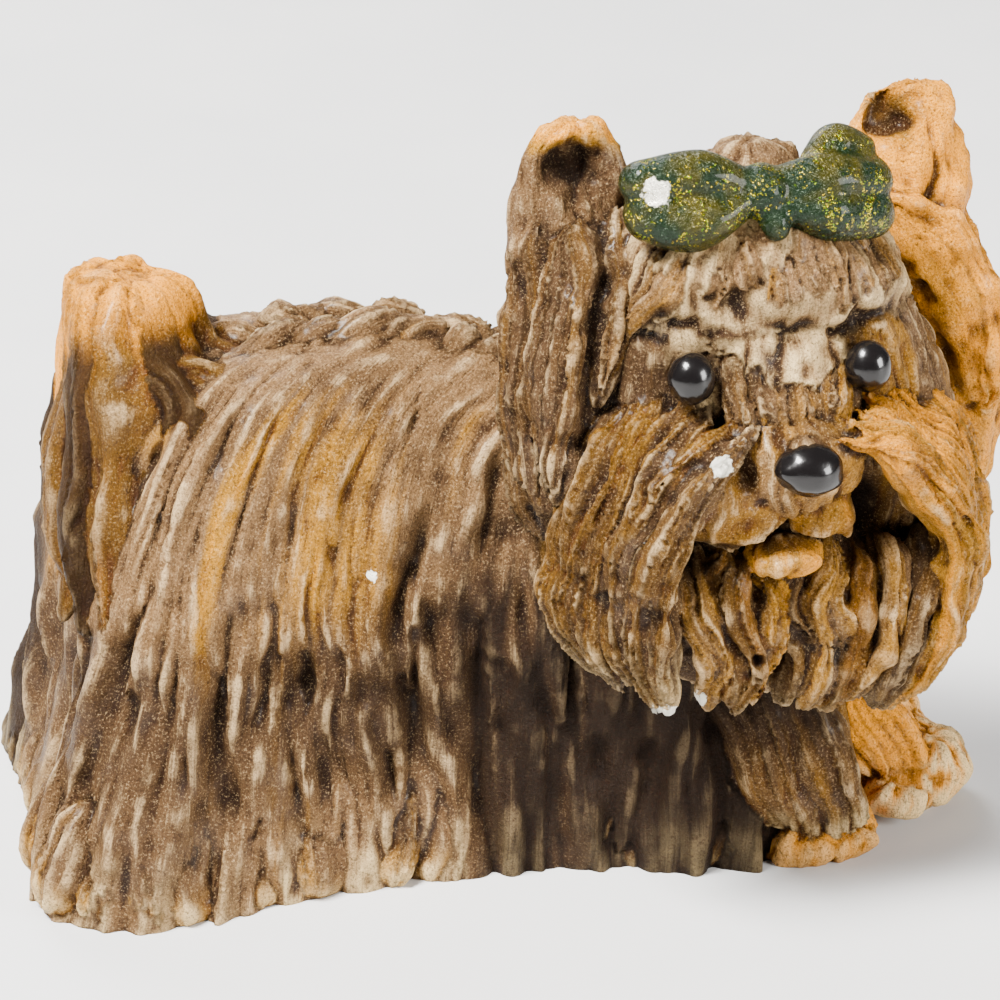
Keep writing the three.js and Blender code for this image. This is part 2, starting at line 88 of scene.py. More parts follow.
def smooth_path(points, closed=False, dense=24):
    """A smooth curve through the points, as closely spaced points."""
    p = np.asarray(points, float)
    ends = (p[-1:], p[:2]) if closed else (2 * p[:1] - p[1:2], 2 * p[-1:] - p[-2:-1])
    p = np.vstack([ends[0], p, ends[1]])
    t = np.linspace(0, 1, dense, endpoint=False)[:, None]
    spans = []
    for a, b, c, d in zip(p[:-3], p[1:-2], p[2:-1], p[3:]):
        before, span, after = (max(np.linalg.norm(q - r) ** 0.5, 1e-4) for q, r in ((b, a), (c, b), (d, c)))
        leaving = ((b - a) / before - (c - a) / (before + span) + (c - b) / span) * span
        arriving = ((c - b) / span - (d - b) / (span + after) + (d - c) / after) * span
        spans.append(
            (2 * t**3 - 3 * t**2 + 1) * b + (t**3 - 2 * t**2 + t) * leaving
            + (3 * t**2 - 2 * t**3) * c + (t**3 - t**2) * arriving
        )
    if not closed:
        spans.append(p[-2:-1])
    return np.vstack(spans)


def new_mesh(name, points, faces=(), edges=(), **values):
    """A mesh object with a value, or a vector, stored for each point under each given name."""
    mesh = bpy.data.meshes.new(name)
    mesh.from_pydata(points.tolist(), list(edges), list(faces))
    for key, value in values.items():
        kind = "FLOAT_VECTOR" if np.ndim(value) == 2 else "FLOAT"
        field = "vector" if np.ndim(value) == 2 else "value"
        mesh.attributes.new(key, kind, "POINT").data.foreach_set(field, np.ravel(value).astype(np.float32))
    thing = bpy.data.objects.new(name, mesh)
    bpy.context.scene.collection.objects.link(thing)
    return thing


def clay(name, columns, rows, place, combed, warm=0.3, tip=0.0, dark=0.0):
    """A closed form. place(around, down) says where each point of a sphere goes, how the paint takes there,
    and how far the hair leans. `combed` is how many units of hair run across and down it."""
    around = (np.arange(columns) / columns)[None, :] + np.zeros((rows - 1, 1))
    down = (np.arange(1, rows) / rows)[:, None] + np.zeros((1, columns))
    poles = [np.array(place(np.zeros((1, 1)), np.full((1, 1), end))[0]).reshape(1, 3) for end in (0.0, 1.0)]
    body, paint, lean = place(around, down)
    points = np.vstack([poles[0], body.reshape(-1, 3), poles[1]])
    at = 1 + np.arange(rows - 1)[:, None] * columns + np.arange(columns)[None, :]
    right = np.roll(at, -1, 1)
    quads = np.stack([at[:-1], at[1:], right[1:], right[:-1]], -1).reshape(-1, 4)
    last = len(points) - 1
    caps = [(0, int(a), int(b)) for a, b in zip(at[0], right[0])]
    caps += [(last, int(b), int(a)) for a, b in zip(at[-1], right[-1])]
    comb = np.stack([(around + lean) * combed[0], down * combed[1], np.zeros_like(around)], -1)
    comb = comb.reshape(-1, 3)
    if paint is None:
        paint = np.zeros(around.shape + (3,)) + np.array([warm, tip, dark])
    comb = np.vstack([comb[:1], comb, comb[-1:]])
    paint = paint.reshape(-1, 3)
    paint = np.vstack([paint[:1], paint, paint[-1:]])
    return new_mesh(name, points, quads.tolist() + caps, comb=comb, paint=paint)


def points_of(mesh, key="co"):
    values = np.empty(len(mesh.vertices) * 3)
    if key in ("co", "normal"):
        mesh.vertices.foreach_get(key, values)
    else:
        mesh.attributes[key].data.foreach_get("vector", values)
    return values.reshape(-1, 3)


def lumpy(points, seed):
    """Smooth noise in space, from -1 to 1."""
    cell = np.floor(points)
    f = points - cell
    f = f * f * (3 - 2 * f)
    total = 0
    for corner in np.ndindex(2, 2, 2):
        at = cell + np.array(corner)
        wave = np.sin(at @ np.array([127.1, 311.7, 74.7]) + seed * 31.1) * 43758.5453
        weight = np.prod(np.where(np.array(corner) == 1, f, 1 - f), axis=1)
        total = total + weight * (wave - np.floor(wave))
    return 2 * total - 1


def knead(thing, sway, size):
    """Bends the forms a little this way and that, as clay takes them from a hand."""
    place = points_of(thing.data)
    place += sway * np.stack([lumpy(place / size, seed) for seed in (1, 2, 3)], 1)
    place += 0.4 * sway * np.stack([lumpy(place / size * 2.3, seed) for seed in (4, 5, 6)], 1)
    thing.data.vertices.foreach_set("co", place.ravel())
    thing.data.update()


def lump(name, centre, radii, size=(48, 32), rough=0.25, seed=1, **paint):
    """A round lump of clay with its own three radii, a little uneven."""
    def place(around, down):
        turn, fall = 2 * np.pi * around, np.pi * down
        ring = np.sin(fall)
        uneven = 1 + rough * 0.12 * ring * grain(around * 9, down * 6, seed, 9)
        way = np.stack([ring * np.cos(turn), ring * np.sin(turn), np.cos(fall)], -1)
        return way * np.array(radii) * uneven[..., None] + np.array(centre), None, 0
    return clay(name, *size, place, (2 * math.pi * radii[0], math.pi * radii[2]), **paint)


def make_lock_tree():
    """Sweeps a grooved lock of hair along each guide line. The guide's points say how thick it is there and
    which way is out."""
    tree = bpy.data.node_groups.new("swept locks of hair", "GeometryNodeTree")
    tree.interface.new_socket("Guides", in_out="INPUT", socket_type="NodeSocketGeometry")
    for name, kind, value in (
        ("Points Around", "NodeSocketInt", 20), ("Wide", "NodeSocketFloat", 1.2),
        ("Grooves", "NodeSocketFloat", 4.0), ("Groove Depth", "NodeSocketFloat", 0.2),
    ):
        tree.interface.new_socket(name, in_out="INPUT", socket_type=kind).default_value = value
    tree.interface.new_socket("Paint", in_out="INPUT", socket_type="NodeSocketMaterial")
    tree.interface.new_socket("Locks", in_out="OUTPUT", socket_type="NodeSocketGeometry")
    new, link = tree.nodes.new, tree.links.new
    given, made = new("NodeGroupInput"), new("NodeGroupOutput")

    def maths(operation, a, b=0.0):
        node = new("ShaderNodeMath")
        node.operation = operation
        for socket, value in zip(node.inputs, (a, b)):
            if isinstance(value, (int, float)):
                socket.default_value = value
            else:
                link(value, socket)
        return node.outputs[0]

    def named(name, kind="FLOAT"):
        node = new("GeometryNodeInputNamedAttribute")
        node.data_type = kind
        node.inputs["Name"].default_value = name
        return node.outputs["Attribute"]

    def stored(geometry, name, value, kind="FLOAT"):
        node = new("GeometryNodeStoreNamedAttribute")
        node.data_type = kind
        node.inputs["Name"].default_value = name
        link(geometry, node.inputs["Geometry"])
        link(value, node.inputs["Value"])
        return node.outputs["Geometry"]

    circle = new("GeometryNodeCurvePrimitiveCircle")
    link(given.outputs["Points Around"], circle.inputs["Resolution"])
    place = new("ShaderNodeSeparateXYZ")
    link(new("GeometryNodeInputPosition").outputs[0], place.inputs[0])
    turn = maths("ARCTAN2", place.outputs["Y"], place.outputs["X"])
    half_grooves = maths("MULTIPLY", given.outputs["Grooves"], 0.5)
    wave = maths("ABSOLUTE", maths("SINE", maths("MULTIPLY", turn, half_grooves)))
    groove = maths("MULTIPLY", maths("SUBTRACT", wave, 0.7), given.outputs["Groove Depth"])
    reach = maths("ADD", 1.0, groove)
    section = new("ShaderNodeCombineXYZ")
    across = maths("MULTIPLY", place.outputs["X"], reach)
    link(maths("MULTIPLY", across, given.outputs["Wide"]), section.inputs["X"])
    link(maths("MULTIPLY", place.outputs["Y"], reach), section.inputs["Y"])
    shaped = new("GeometryNodeSetPosition")
    link(circle.outputs["Curve"], shaped.inputs["Geometry"])
    link(section.outputs[0], shaped.inputs["Position"])
    along_it = new("GeometryNodeSplineParameter").outputs["Factor"]
    profile = stored(shaped.outputs["Geometry"], "round", along_it)

    lines = new("GeometryNodeMeshToCurve")
    link(given.outputs["Guides"], lines.inputs["Mesh"])
    turned = new("GeometryNodeSetCurveNormal")
    turned.mode = "FREE"
    link(lines.outputs["Curve"], turned.inputs["Curve"])
    link(named("out", "FLOAT_VECTOR"), turned.inputs["Normal"])
    path = stored(turned.outputs["Curve"], "run", new("GeometryNodeSplineParameter").outputs["Length"])
    sweep = new("GeometryNodeCurveToMesh")
    link(path, sweep.inputs["Curve"])
    link(profile, sweep.inputs["Profile Curve"])
    link(named("thick"), sweep.inputs["Scale"])
    sweep.inputs["Fill Caps"].default_value = True
    comb = new("ShaderNodeCombineXYZ")
    link(maths("ADD", maths("MULTIPLY", named("round"), 13.0), named("seed")), comb.inputs["X"])
    link(named("run"), comb.inputs["Y"])
    combed = stored(sweep.outputs["Mesh"], "comb", comb.outputs[0], "FLOAT_VECTOR")
    realize, painted = new("GeometryNodeRealizeInstances"), new("GeometryNodeSetMaterial")
    link(combed, realize.inputs["Geometry"])
    link(realize.outputs["Geometry"], painted.inputs["Geometry"])
    link(given.outputs["Paint"], painted.inputs["Material"])
    link(painted.outputs["Geometry"], made.inputs["Locks"])
    return tree


def applied(thing):
    """The object with its modifiers turned into plain mesh."""
    graph = bpy.context.evaluated_depsgraph_get()
    mesh = bpy.data.meshes.new_from_object(
        thing.evaluated_get(graph), preserve_all_data_layers=True, depsgraph=graph)
    thing.modifiers.clear()
    thing.data = mesh
    return thing


def with_tree(thing, tree, **sizes):
    """Adds a Geometry Nodes modifier and sets its named inputs."""
    modifier = thing.modifiers.new(tree.name, "NODES")
    modifier.node_group = tree
    for item in tree.interface.items_tree:
        key = item.name.replace(" ", "_").lower()
        if item.in_out == "INPUT" and key in sizes:
            modifier[item.identifier] = sizes[key]
    return thing


lock_tree = make_lock_tree()
LOCK_END = 0.16
WISP_PAINT = np.array([0.2, 0.0, -0.1])


def locks(name, guides, heart, wide=1.25, points_around=20, grooves=4.0, groove_depth=0.2, steps=26,
          wisps=0):
    """Locks of hair. Each guide is a path, its radii, and how the paint takes on it. Wisps are thin strands
    that lie on each lock."""
    points, out, thick, seed, paint, edges = [], [], [], [], [], []

    def strand(place, away, radius, start, colour, last, fade):
        first = len(points) * (steps + 1)
        edges.extend((first + i, first + i + 1) for i in range(steps))
        warm, tip, dark = mix(colour, last, ease(down, *fade)[:, None]).T
        points.append(place)
        out.append(away)
        thick.append(radius)
        seed.append(np.full(steps + 1, start))
        paint.append(np.stack([warm, tip * ease(down, 0.72, 0.98), dark], 1))

    for n, guide in enumerate(guides):
        path = smooth_path(guide["path"])
        down = (1 - np.cos(np.pi * np.arange(steps + 1) / steps)) / 2
        place = np.stack([np.interp(down, np.linspace(0, 1, len(path)), path[:, k]) for k in range(3)], 1)
        run = np.gradient(place, axis=0)
        run /= np.linalg.norm(run, axis=1)[:, None]
        away = place - np.array(heart)
        away -= (away * run).sum(1)[:, None] * run
        away /= np.linalg.norm(away, axis=1)[:, None]
        to_end = np.clip(np.minimum(down, 1 - down) / LOCK_END, 0, 1)
        radius = along(guide["radii"], down) * np.sqrt(to_end * (2 - to_end)) + 0.02
        colour = np.array(guide.get("paint", (0.3, 0.0, 0.0)))
        last = np.array(guide.get("paint_below", colour))
        fade = guide.get("fade", (0.0, 0.55))
        strand(place, away, radius, 17.3 * n, colour, last, fade)
        for k in range(wisps):
            lean = 1.1 * (2 * (k + 0.2 + 0.6 * float(whim(n + 3 * k, 70))) / wisps - 1)
            sway = 0.35 * np.sin(5 * down + 6 * float(whim(n + 5 * k, 71)))
            aside = np.cross(run, away)
            turn = (lean + sway)[:, None]
            over = place + 0.92 * radius[:, None] * (np.cos(turn) * away + wide * np.sin(turn) * aside)
            thin = mix(0.3, 0.5, float(whim(n + 7 * k, 72))) * radius
            paints = colour + WISP_PAINT, last + WISP_PAINT
            strand(over, away, thin + 0.02, 17.3 * n + 3.1 * k, *paints, fade)
    lines = new_mesh(
        name, np.vstack(points), edges=edges, out=np.vstack(out), thick=np.concatenate(thick),
        seed=np.concatenate(seed), paint=np.vstack(paint),
    )
    sizes = {"points_around": points_around, "wide": wide, "grooves": grooves, "groove_depth": groove_depth}
    return applied(with_tree(lines, lock_tree, **sizes))


COAT_STRANDS = 30
PARTING = {"rear": -33, "front": 22, "heights": [50, 53, 53.8, 51.4, 49.6, 48]}
HEM = [
    (35, -4), (33, 8), (22, 14), (6, 15), (-12, 16), (-30, 19), (-43, 22), (-51.4, 19.5),
    (-49.6, 8), (-47.2, -6), (-47.4, -18), (-39, -23.8), (-25, -20), (-8, -16.4), (8, -15.8), (24, -16.5),
]
HEM_DEPTH = -2.0
SPREAD, FALL, SWING = 0.6, 0.85, 5.0
SWEEP = 0.0048
FLARE = {"rump": 0.4, "side": 0.14}
FLARE_START = {"rump": 4, "side": 2}
STRAND_DEPTH, VALLEY = 1.5, 0.55
OVERCOAT = {"depth": 1.6, "ends": (0.58, 0.78), "rag": 0.08, "fade": 0.05}
COAT_SIZE = (760, 230)
COAT_ROWS = 15

hem_line = smooth_path([(x, y, 0) for x, y in HEM], closed=True, dense=60)
hem_line = np.vstack([hem_line, hem_line[:1]])
hem_length = np.concatenate([[0], np.cumsum(np.linalg.norm(np.diff(hem_line, axis=0), axis=1))])
rearmost, foremost = min(x for x, _ in HEM), max(x for x, _ in HEM)


def shingles(around, fall, count, span, length, width, height, lean, seed):
    """Overlapping flat locks on the coat, as a height: each starts at a share of the fall, leans as it goes
    down, and ends in a tip that stands proud of the locks below."""
    total = np.zeros_like(around)
    for k in range(count):
        chance = [float(whim(k, seed + 31.7 * i)) for i in range(6)]
        start = mix(span[0], span[1], chance[0])
        end = start + mix(length[0], length[1], chance[1])
        half = mix(width[0], width[1], chance[2])
        middle = (k + 0.8 * chance[3]) / count + lean * (fall - start)
        middle = middle + 0.004 * np.sin(9 * fall + 6 * chance[4])
        off = (np.mod(around - middle + 0.5, 1) - 0.5) / half
        taper = ease(fall, start, start + 0.12) * np.sqrt(np.clip((end - fall) / 0.07, 0, 1))
        near = np.clip(1 - (off / np.maximum(taper, 0.05)) ** 2, 0, 1)
        rise = mix(height[0], height[1], chance[5])
        total = np.maximum(total, rise * taper * near**0.6 * (1 + 0.45 * off))
    return total


def slits(around, fall, count, seed, span=(0.2, 0.9)):
    """Short narrow cuts of the modelling tool, as a depth."""
    total = np.zeros_like(around)
    for k in range(count):
        chance = [float(whim(k, seed + 17.9 * i)) for i in range(5)]
        middle, level = chance[0], mix(span[0], span[1], chance[1])
        long, broad = mix(0.02, 0.055, chance[2]), mix(0.0012, 0.0026, chance[3])
        off = (np.mod(around - middle - 0.02 * (fall - level) + 0.5, 1) - 0.5) / broad
        total = np.maximum(total, mix(0.5, 1.1, chance[4]) * np.exp(-off**2 - ((fall - level) / long) ** 2))
    return total


def coat(around, down):
    hem = np.stack([np.interp(around * hem_length[-1], hem_length, hem_line[:, k]) for k in range(2)], -1)
    lean = -SWEEP * hem[..., 1] * (down - 1) * (1 + 0.25 * grain(around * 9, 2 * down, 31, 9))
    strand = np.mod(np.floor((around + lean) * COAT_STRANDS), COAT_STRANDS)
    crown = np.abs(np.sin(np.pi * (around + lean) * COAT_STRANDS))
    share = np.clip((hem[..., 0] - rearmost) / (foremost - rearmost), 0, 1)
    crest = np.stack([
        mix(PARTING["rear"], PARTING["front"], share), 0 * share, along(PARTING["heights"], share)
    ], -1)
    side = ease(share, 0.02, 0.3)
    fall = np.minimum(1, down * COAT_ROWS / (COAT_ROWS - 1))
    quarter = fall * np.pi / 2
    flare = mix(FLARE["rump"], FLARE["side"], side)
    flared = flare * fall ** mix(FLARE_START["rump"], FLARE_START["side"], side)
    out = (1 - flare) * np.sin(quarter) ** SPREAD + flared
    drop = 1 - np.clip(np.cos(quarter), 0, 1) ** FALL
    point = np.stack([
        mix(crest[..., 0], hem[..., 0], out) - SWING * side * np.sin(np.pi * fall) * (1 - fall / 3),
        mix(crest[..., 1], hem[..., 1], out),
        mix(crest[..., 2], HEM_DEPTH, drop),
    ], -1)

    ends = mix(*OVERCOAT["ends"], whim(strand))
    ragged = ends - OVERCOAT["fade"] + OVERCOAT["rag"] * (1 - crown)
    over = 1 - ease(fall, ragged, ends + OVERCOAT["fade"])
    skirt = ease(fall, 0.6, 0.78)
    rib = STRAND_DEPTH * (0.5 + 0.8 * whim(strand, 40)) * np.minimum(1, fall * 3)
    rib *= mix(0.3 + 0.9 * whim(strand, 77), 1, skirt)
    wander = around + lean + 0.008 * grain(around * 26, fall * 4, 3, 26)
    upper = shingles(wander, fall, 96, (0.02, 0.42), (0.28, 0.5), (0.006, 0.013), (0.3, 1.0), -0.02, 5)
    lower = shingles(wander, fall, 120, (0.5, 0.8), (0.2, 0.42), (0.004, 0.009), (0.5, 1.35), 0.05, 9)
    fine = 0.5 - np.abs(grain(wander * 190, fall * 4 + 3 * grain(around * 30, fall * 3, 2, 30), 7, 190))
    finer = 0.5 - np.abs(grain(wander * 420, fall * 9, 8, 420))
    lumps = grain(wander * 60, fall * 8, 4, 60) + 0.6 * grain(wander * 130, fall * 17, 6, 130)
    depth = mix(0.3, 0.5, skirt) * fine + 0.15 * finer + mix(0.35, 1.0, skirt) * lumps
    pits = ease(grain(wander * 118, fall * 8, 33, 118), 0.3, 0.85)
    pits = pits * ease(fall, 0.45, 0.62) * ease(fall, 0.97, 0.86)
    depth -= 1.5 * pits
    height = OVERCOAT["depth"] * over + rib * (crown - VALLEY) + upper * mix(1, 0.4, skirt) + lower + depth
    height -= 2.0 * slits(wander, fall, 110, 2)
    height -= 0.55
    outward = np.stack([hem[..., 0] - crest[..., 0], hem[..., 1] - crest[..., 1]], -1)
    outward /= np.linalg.norm(outward, axis=-1)[..., None]
    point[..., :2] += outward * (height * np.minimum(1, fall * 5))[..., None]
    below = np.stack([point[..., 0], point[..., 1], 0 * fall + HEM_DEPTH], -1)
    point = np.where((down >= (COAT_ROWS - 1) / COAT_ROWS)[..., None], below, point)
    if down.size == 1:
        point = np.array(crest if down.item() == 0 else [[[-6, 0, HEM_DEPTH]]], float)
        if down.item() == 0:
            point[..., 0] = mix(PARTING["rear"], PARTING["front"], 0.5)

    streams = ease(grain(wander * 44, fall * 1.6 + 2, 12, 44), -0.3, 0.4)
    off = share - 0.42 + 0.02 * grain(around * 60, fall * 4, 61, 60)
    warm = 0.1 + 0.55 * streams + 0.5 * np.exp(-(off / 0.1) ** 2)
    warm = np.clip(warm * ease(fall, 0.05, 0.4) * (1 - 0.6 * skirt), 0, 0.85)
    tip = ease(fall, 0.9, 0.995) * ease(crown + 0.4 * fine, 0.45, 0.95) * (1 - 0.8 * whim(strand, 9))
    # Painted shade: under the head, on the near side of the chest, the hem loses its cream tips and the
    # paint's darkness runs high, and so it does at the far rear corner; there the coat paint lays its darkest
    # brown.
    tip *= 1 - 0.85 * ease(share, 0.5, 0.62)
    patches = ease(grain(wander * 20, fall * 3, 51, 20), 0.15, 0.6)
    ragged_edge = share + 0.1 * fine + 0.06 * grain(wander * 50, fall * 3, 71, 50)
    shade_under_head = 2.4 * ease(ragged_edge, 0.4, 0.8) * ease(fall + 0.1 * fine, 0.42, 0.74)
    shade_under_head *= 1 - 0.7 * ease(hem[..., 1], -2, 10)
    shade_far_corner = 1.7 * ease(share, 0.16, 0.02) * ease(hem[..., 1], 6, 14) * ease(fall, 0.4, 0.7)
    dark = np.maximum(skirt * ease(fall, 0.99, 0.8) + 0.35 * patches, np.maximum(shade_under_head, shade_far_corner))
    dark = dark + 0.25 * pits
    return point, np.stack([warm, tip, dark], -1), lean


BODY_HEART = (-8, 0, 24)
TAIL = [(-35, 0, 34), (-36.4, 0, 46), (-37.2, 0, 54), (-37, 0, 60.6)]
TAIL_RADII = (8.6, 7.6, 6.2, 4.4)
TAIL_LOCKS = 11
FORELEGS = [
    {"path": [(24, -6, 26), (28, -9, 12), (30.6, -11, 2)], "radii": (8, 6.4, 5)},
    {"path": [(28, 4, 24), (34, 0, 13), (39, -3, 5)], "radii": (8, 7, 5.4)},
]
# The near foreleg is painted dark, as painted shade under the head; the far one is painted amber, partly its
# own colour and partly painted light.
LEG_PAINT_AND_LIGHT = [(0.6, 0.2, 1.0), (1.2, 0.8, -0.4)]
PAWS = [((31.4, -12.6, 2.4), (5.4, 4.4, 4.2)), ((40.6, -3.6, 4), (6.2, 5.8, 5.2))]
TOES = [
    ((29, -15.6, 1.4), (3.3, 2.4, 2.3)), ((33.8, -15.2, 1.4), (3.1, 2.4, 2.2)),
    ((43.8, -6.4, 4.6), (3.4, 3.2, 3.8)), ((39.8, -8.8, 2.4), (3.2, 2.6, 2.6)),
    ((45.4, -3, 3.0), (3, 3, 3)),
]
LEG_LOCKS = 4

tail_guides = []
for n in range(TAIL_LOCKS):
    turn = 2 * math.pi * (n + 0.3 * float(whim(n, 20))) / TAIL_LOCKS
    ahead, aside = math.cos(turn), math.sin(turn)
    reach = ahead * (12 if ahead > 0 else 4.6)
    low = 43 if ahead > 0.2 else 22 + 10 * float(whim(n, 30))
    tail_guides.append({
        "path": [
            (-37 + 3 * ahead, 2.6 * aside, 60), (-37 + 0.5 * reach, 6.4 * aside, 52),
            (-37.4 + reach, 11 * aside, mix(52, low, 0.45)), (-39 + reach, 14.6 * aside, low),
        ],
        "radii": (2.3, 2.6, 2.6, 1.2), "paint": (1.5, 0.0, 0.0),
        "paint_below": (0.8, 0.0, 1.25 + 0.55 * (n % 2)),
        "fade": (0.1 * float(whim(n, 44)), 0.24 + 0.24 * float(whim(n, 45))),
    })
back_guides = []
for n in range(26):
    x = mix(-28, 15, n / 25) + 3 * (float(whim(n, 5)) - 0.5)
    height = along(PARTING["heights"], (x - PARTING["rear"]) / (PARTING["front"] - PARTING["rear"]))
    side, long = (1.9 if n % 2 else -1.9), mix(2.4, 5.5, float(whim(n, 6)))
    back_guides.append({
        "path": [
            (x + 0.7 * long, side * 0.3, height - 0.9), (x, side, height - 0.5 + 0.6 * float(whim(n, 7))),
            (x - long, side * 2.2, height - 2.4),
        ],
        "radii": np.array((0.8, 1.3, 0.7)) * (1.1 if n < 9 else 0.7),
        "paint": (0.2, 0.0, 0.6 * float(whim(n, 8))),
    })
leg_guides = []
for leg, foreleg in enumerate(FORELEGS):
    shoulder, elbow, wrist = foreleg["path"]
    for n in range(2 * LEG_LOCKS):
        shift = mix(-5, 4.5, n / (2 * LEG_LOCKS - 1))
        foot = 1.5 + 3 * float(whim(n + 5 * leg))
        # The near foreleg's locks are dark, as painted shade under the head; the far foreleg's are lighter,
        # partly their own amber and partly painted light.
        leg_guides.append({
            "path": [
                (shoulder[0] + shift, shoulder[1] - 8, 20), (elbow[0] + shift, elbow[1] - 7, 11),
                (wrist[0] + shift, wrist[1] - 4.6, foot),
            ],
            "radii": (1.3, 1.7, 1.0), "paint": (0.4 + 0.8 * leg, 0.3, 1.9 - 1.8 * leg),
            "paint_below": (0.5 + 0.8 * leg, 0.7, 0.9 - 0.9 * leg),
        })

HEM_BUNDLES = 37
hem_guides = []
for n in range(HEM_BUNDLES):
    at = (n + 0.5 * float(whim(n, 81))) / HEM_BUNDLES * hem_length[-1]
    spot, ahead = (
        np.array([np.interp(at + step, hem_length, hem_line[:, k]) for k in range(2)]) for step in (0, 1)
    )
    outward = np.array([(ahead - spot)[1], -(ahead - spot)[0], 0])
    outward /= np.linalg.norm(outward)
    thick, tall = mix(1.3, 2.9, float(whim(n, 82))), mix(7, 14, float(whim(n, 83)))
    foot = np.array([*spot, 0]) - 0.75 * thick * outward
    shaded = (spot[0] > -4 and spot[1] < 0) or (spot[0] < -38 and spot[1] > 12)
    lit, thick = (0.3, 0.7 * thick) if shaded else (1.0, thick)
    hem_guides.append({
        "path": [
            foot - 4.2 * outward + (2.4, 0, tall + 3), foot - 1.6 * outward + (1.2, 0, 0.6 * tall),
            foot - (0.3, 0, 0.4),
        ],
        "radii": (0.5 * thick, 0.9 * thick, 1.1 * thick, 0.95 * thick), "fade": (0.5, 0.95),
        "paint": (0.2, 0.4, 2.0 if shaded else 0.8),
        "paint_below": (0.5, 0.8 * lit, 1.5 if shaded else 0.2),
    })

tail_core = {"path": TAIL, "radii": TAIL_RADII, "paint": (0.3, 0, 0.4), "paint_below": (1.3, 0, 0)}
legs = [dict(leg, paint=paint) for leg, paint in zip(FORELEGS, LEG_PAINT_AND_LIGHT)]
body_clay = [
    clay("coat clay", *COAT_SIZE, coat, (300, 62)),
    locks("hem bundles", hem_guides, BODY_HEART, 1.15, 28, 5, 0.22, 22, wisps=1),
    locks("tail core", [tail_core], (-60, 0, 40), 0.95, 64, 14, 0.08),
    locks("tail locks", tail_guides, BODY_HEART, 1.4, 24, 5, 0.25),
    locks("back tufts", back_guides, BODY_HEART, 1.6, 24, 5, 0.25),
    locks("legs", legs, (10, 6, 12), 1.0, 48, 9, 0.1),
    locks("leg locks", leg_guides, (14, 4, 12), 1.4, 20, 4, 0.3),
]
# The far paw and its toes take more cream and less dark than the near ones: partly their own paler paint,
# partly painted light on a paw that the head shades.
for n, (centre, radii) in enumerate(PAWS):
    takes = {"warm": 1.2, "tip": 0.1 + 0.8 * n, "dark": -0.4 * n}
    body_clay.append(lump("paw", centre, radii, rough=0.8, seed=n, **takes))
for n, (centre, radii) in enumerate(TOES):
    takes = {"warm": 1.2, "tip": 0.3 + 0.7 * (n > 1), "dark": 0.3 - 0.7 * (n > 1)}
    body_clay.append(lump("toe", centre, radii, rough=1, seed=n, **takes))
for thing in body_clay[1:]:
    knead(thing, 0.9, 5)


def make_carry_tree():
    """Reads how the hair runs and how the paint takes from the loose clay onto the fused surface."""
    tree = bpy.data.node_groups.new("carry hair and paint", "GeometryNodeTree")
    tree.interface.new_socket("Surface", in_out="INPUT", socket_type="NodeSocketGeometry")
    tree.interface.new_socket("Clay", in_out="INPUT", socket_type="NodeSocketObject")
    tree.interface.new_socket("Surface", in_out="OUTPUT", socket_type="NodeSocketGeometry")
    new, link = tree.nodes.new, tree.links.new
    given, made = new("NodeGroupInput"), new("NodeGroupOutput")
    source = new("GeometryNodeObjectInfo")
    link(given.outputs["Clay"], source.inputs["Object"])
    surface = given.outputs["Surface"]
    for name in ("comb", "paint"):
        value, sample, store = (new("GeometryNode" + kind) for kind in (
            "InputNamedAttribute", "SampleNearestSurface", "StoreNamedAttribute"))
        for node in (value, sample, store):
            node.data_type = "FLOAT_VECTOR"
        value.inputs["Name"].default_value = name
        store.inputs["Name"].default_value = name
        link(source.outputs["Geometry"], sample.inputs["Mesh"])
        link(value.outputs["Attribute"], sample.inputs["Value"])
        link(surface, store.inputs["Geometry"])
        link(sample.outputs["Value"], store.inputs["Value"])
        surface = store.outputs["Geometry"]
    link(surface, made.inputs["Surface"])
    return tree


carry_tree = make_carry_tree()


def blurred(values, mesh, rounds):
    """Each point's value, averaged with its neighbours' this many times."""
    ends = np.empty(len(mesh.edges) * 2, int)
    mesh.edges.foreach_get("vertices", ends)
    a, b = ends.reshape(-1, 2).T
    one, other = np.concatenate([a, b]), np.concatenate([b, a])
    count = np.bincount(one, minlength=len(values))[:, None]
    for _ in range(rounds):
        sums = [np.bincount(one, column[other], len(values)) for column in values.T]
        values = 0.5 * values + 0.5 * np.stack(sums, 1) / count
    return values


def comb_in(mesh, depth, knobbly):
    """Draws the hair into the clay along its run: grooves from a loop tool and finer ones from a needle."""
    comb, normal = points_of(mesh, "comb"), points_of(mesh, "normal")
    place = points_of(mesh)
    x = comb[:, 0] + (1 + 1.2 * knobbly) * lumpy(place / 6, 9) + 0.5 * knobbly * lumpy(place / 2.2, 12)
    y = comb[:, 1]
    broad = np.abs(grain(x / 2.4, y / 13, 41)) - 0.33
    narrow = np.abs(grain(x / 1.25, y / 7 + 5, 42)) - 0.33
    crest = 0.4 - np.abs(grain(x / 1.9, y / 10 + 9, 43))
    rise = 0.5 * broad + 0.22 * narrow + 0.25 * crest
    rise += knobbly * (0.3 * lumpy(place / 1.5, 10) + 0.5 * lumpy(place / 3.1, 11))
    place += normal * (depth * rise)[:, None]
    mesh.vertices.foreach_set("co", place.ravel())
    mesh.update()


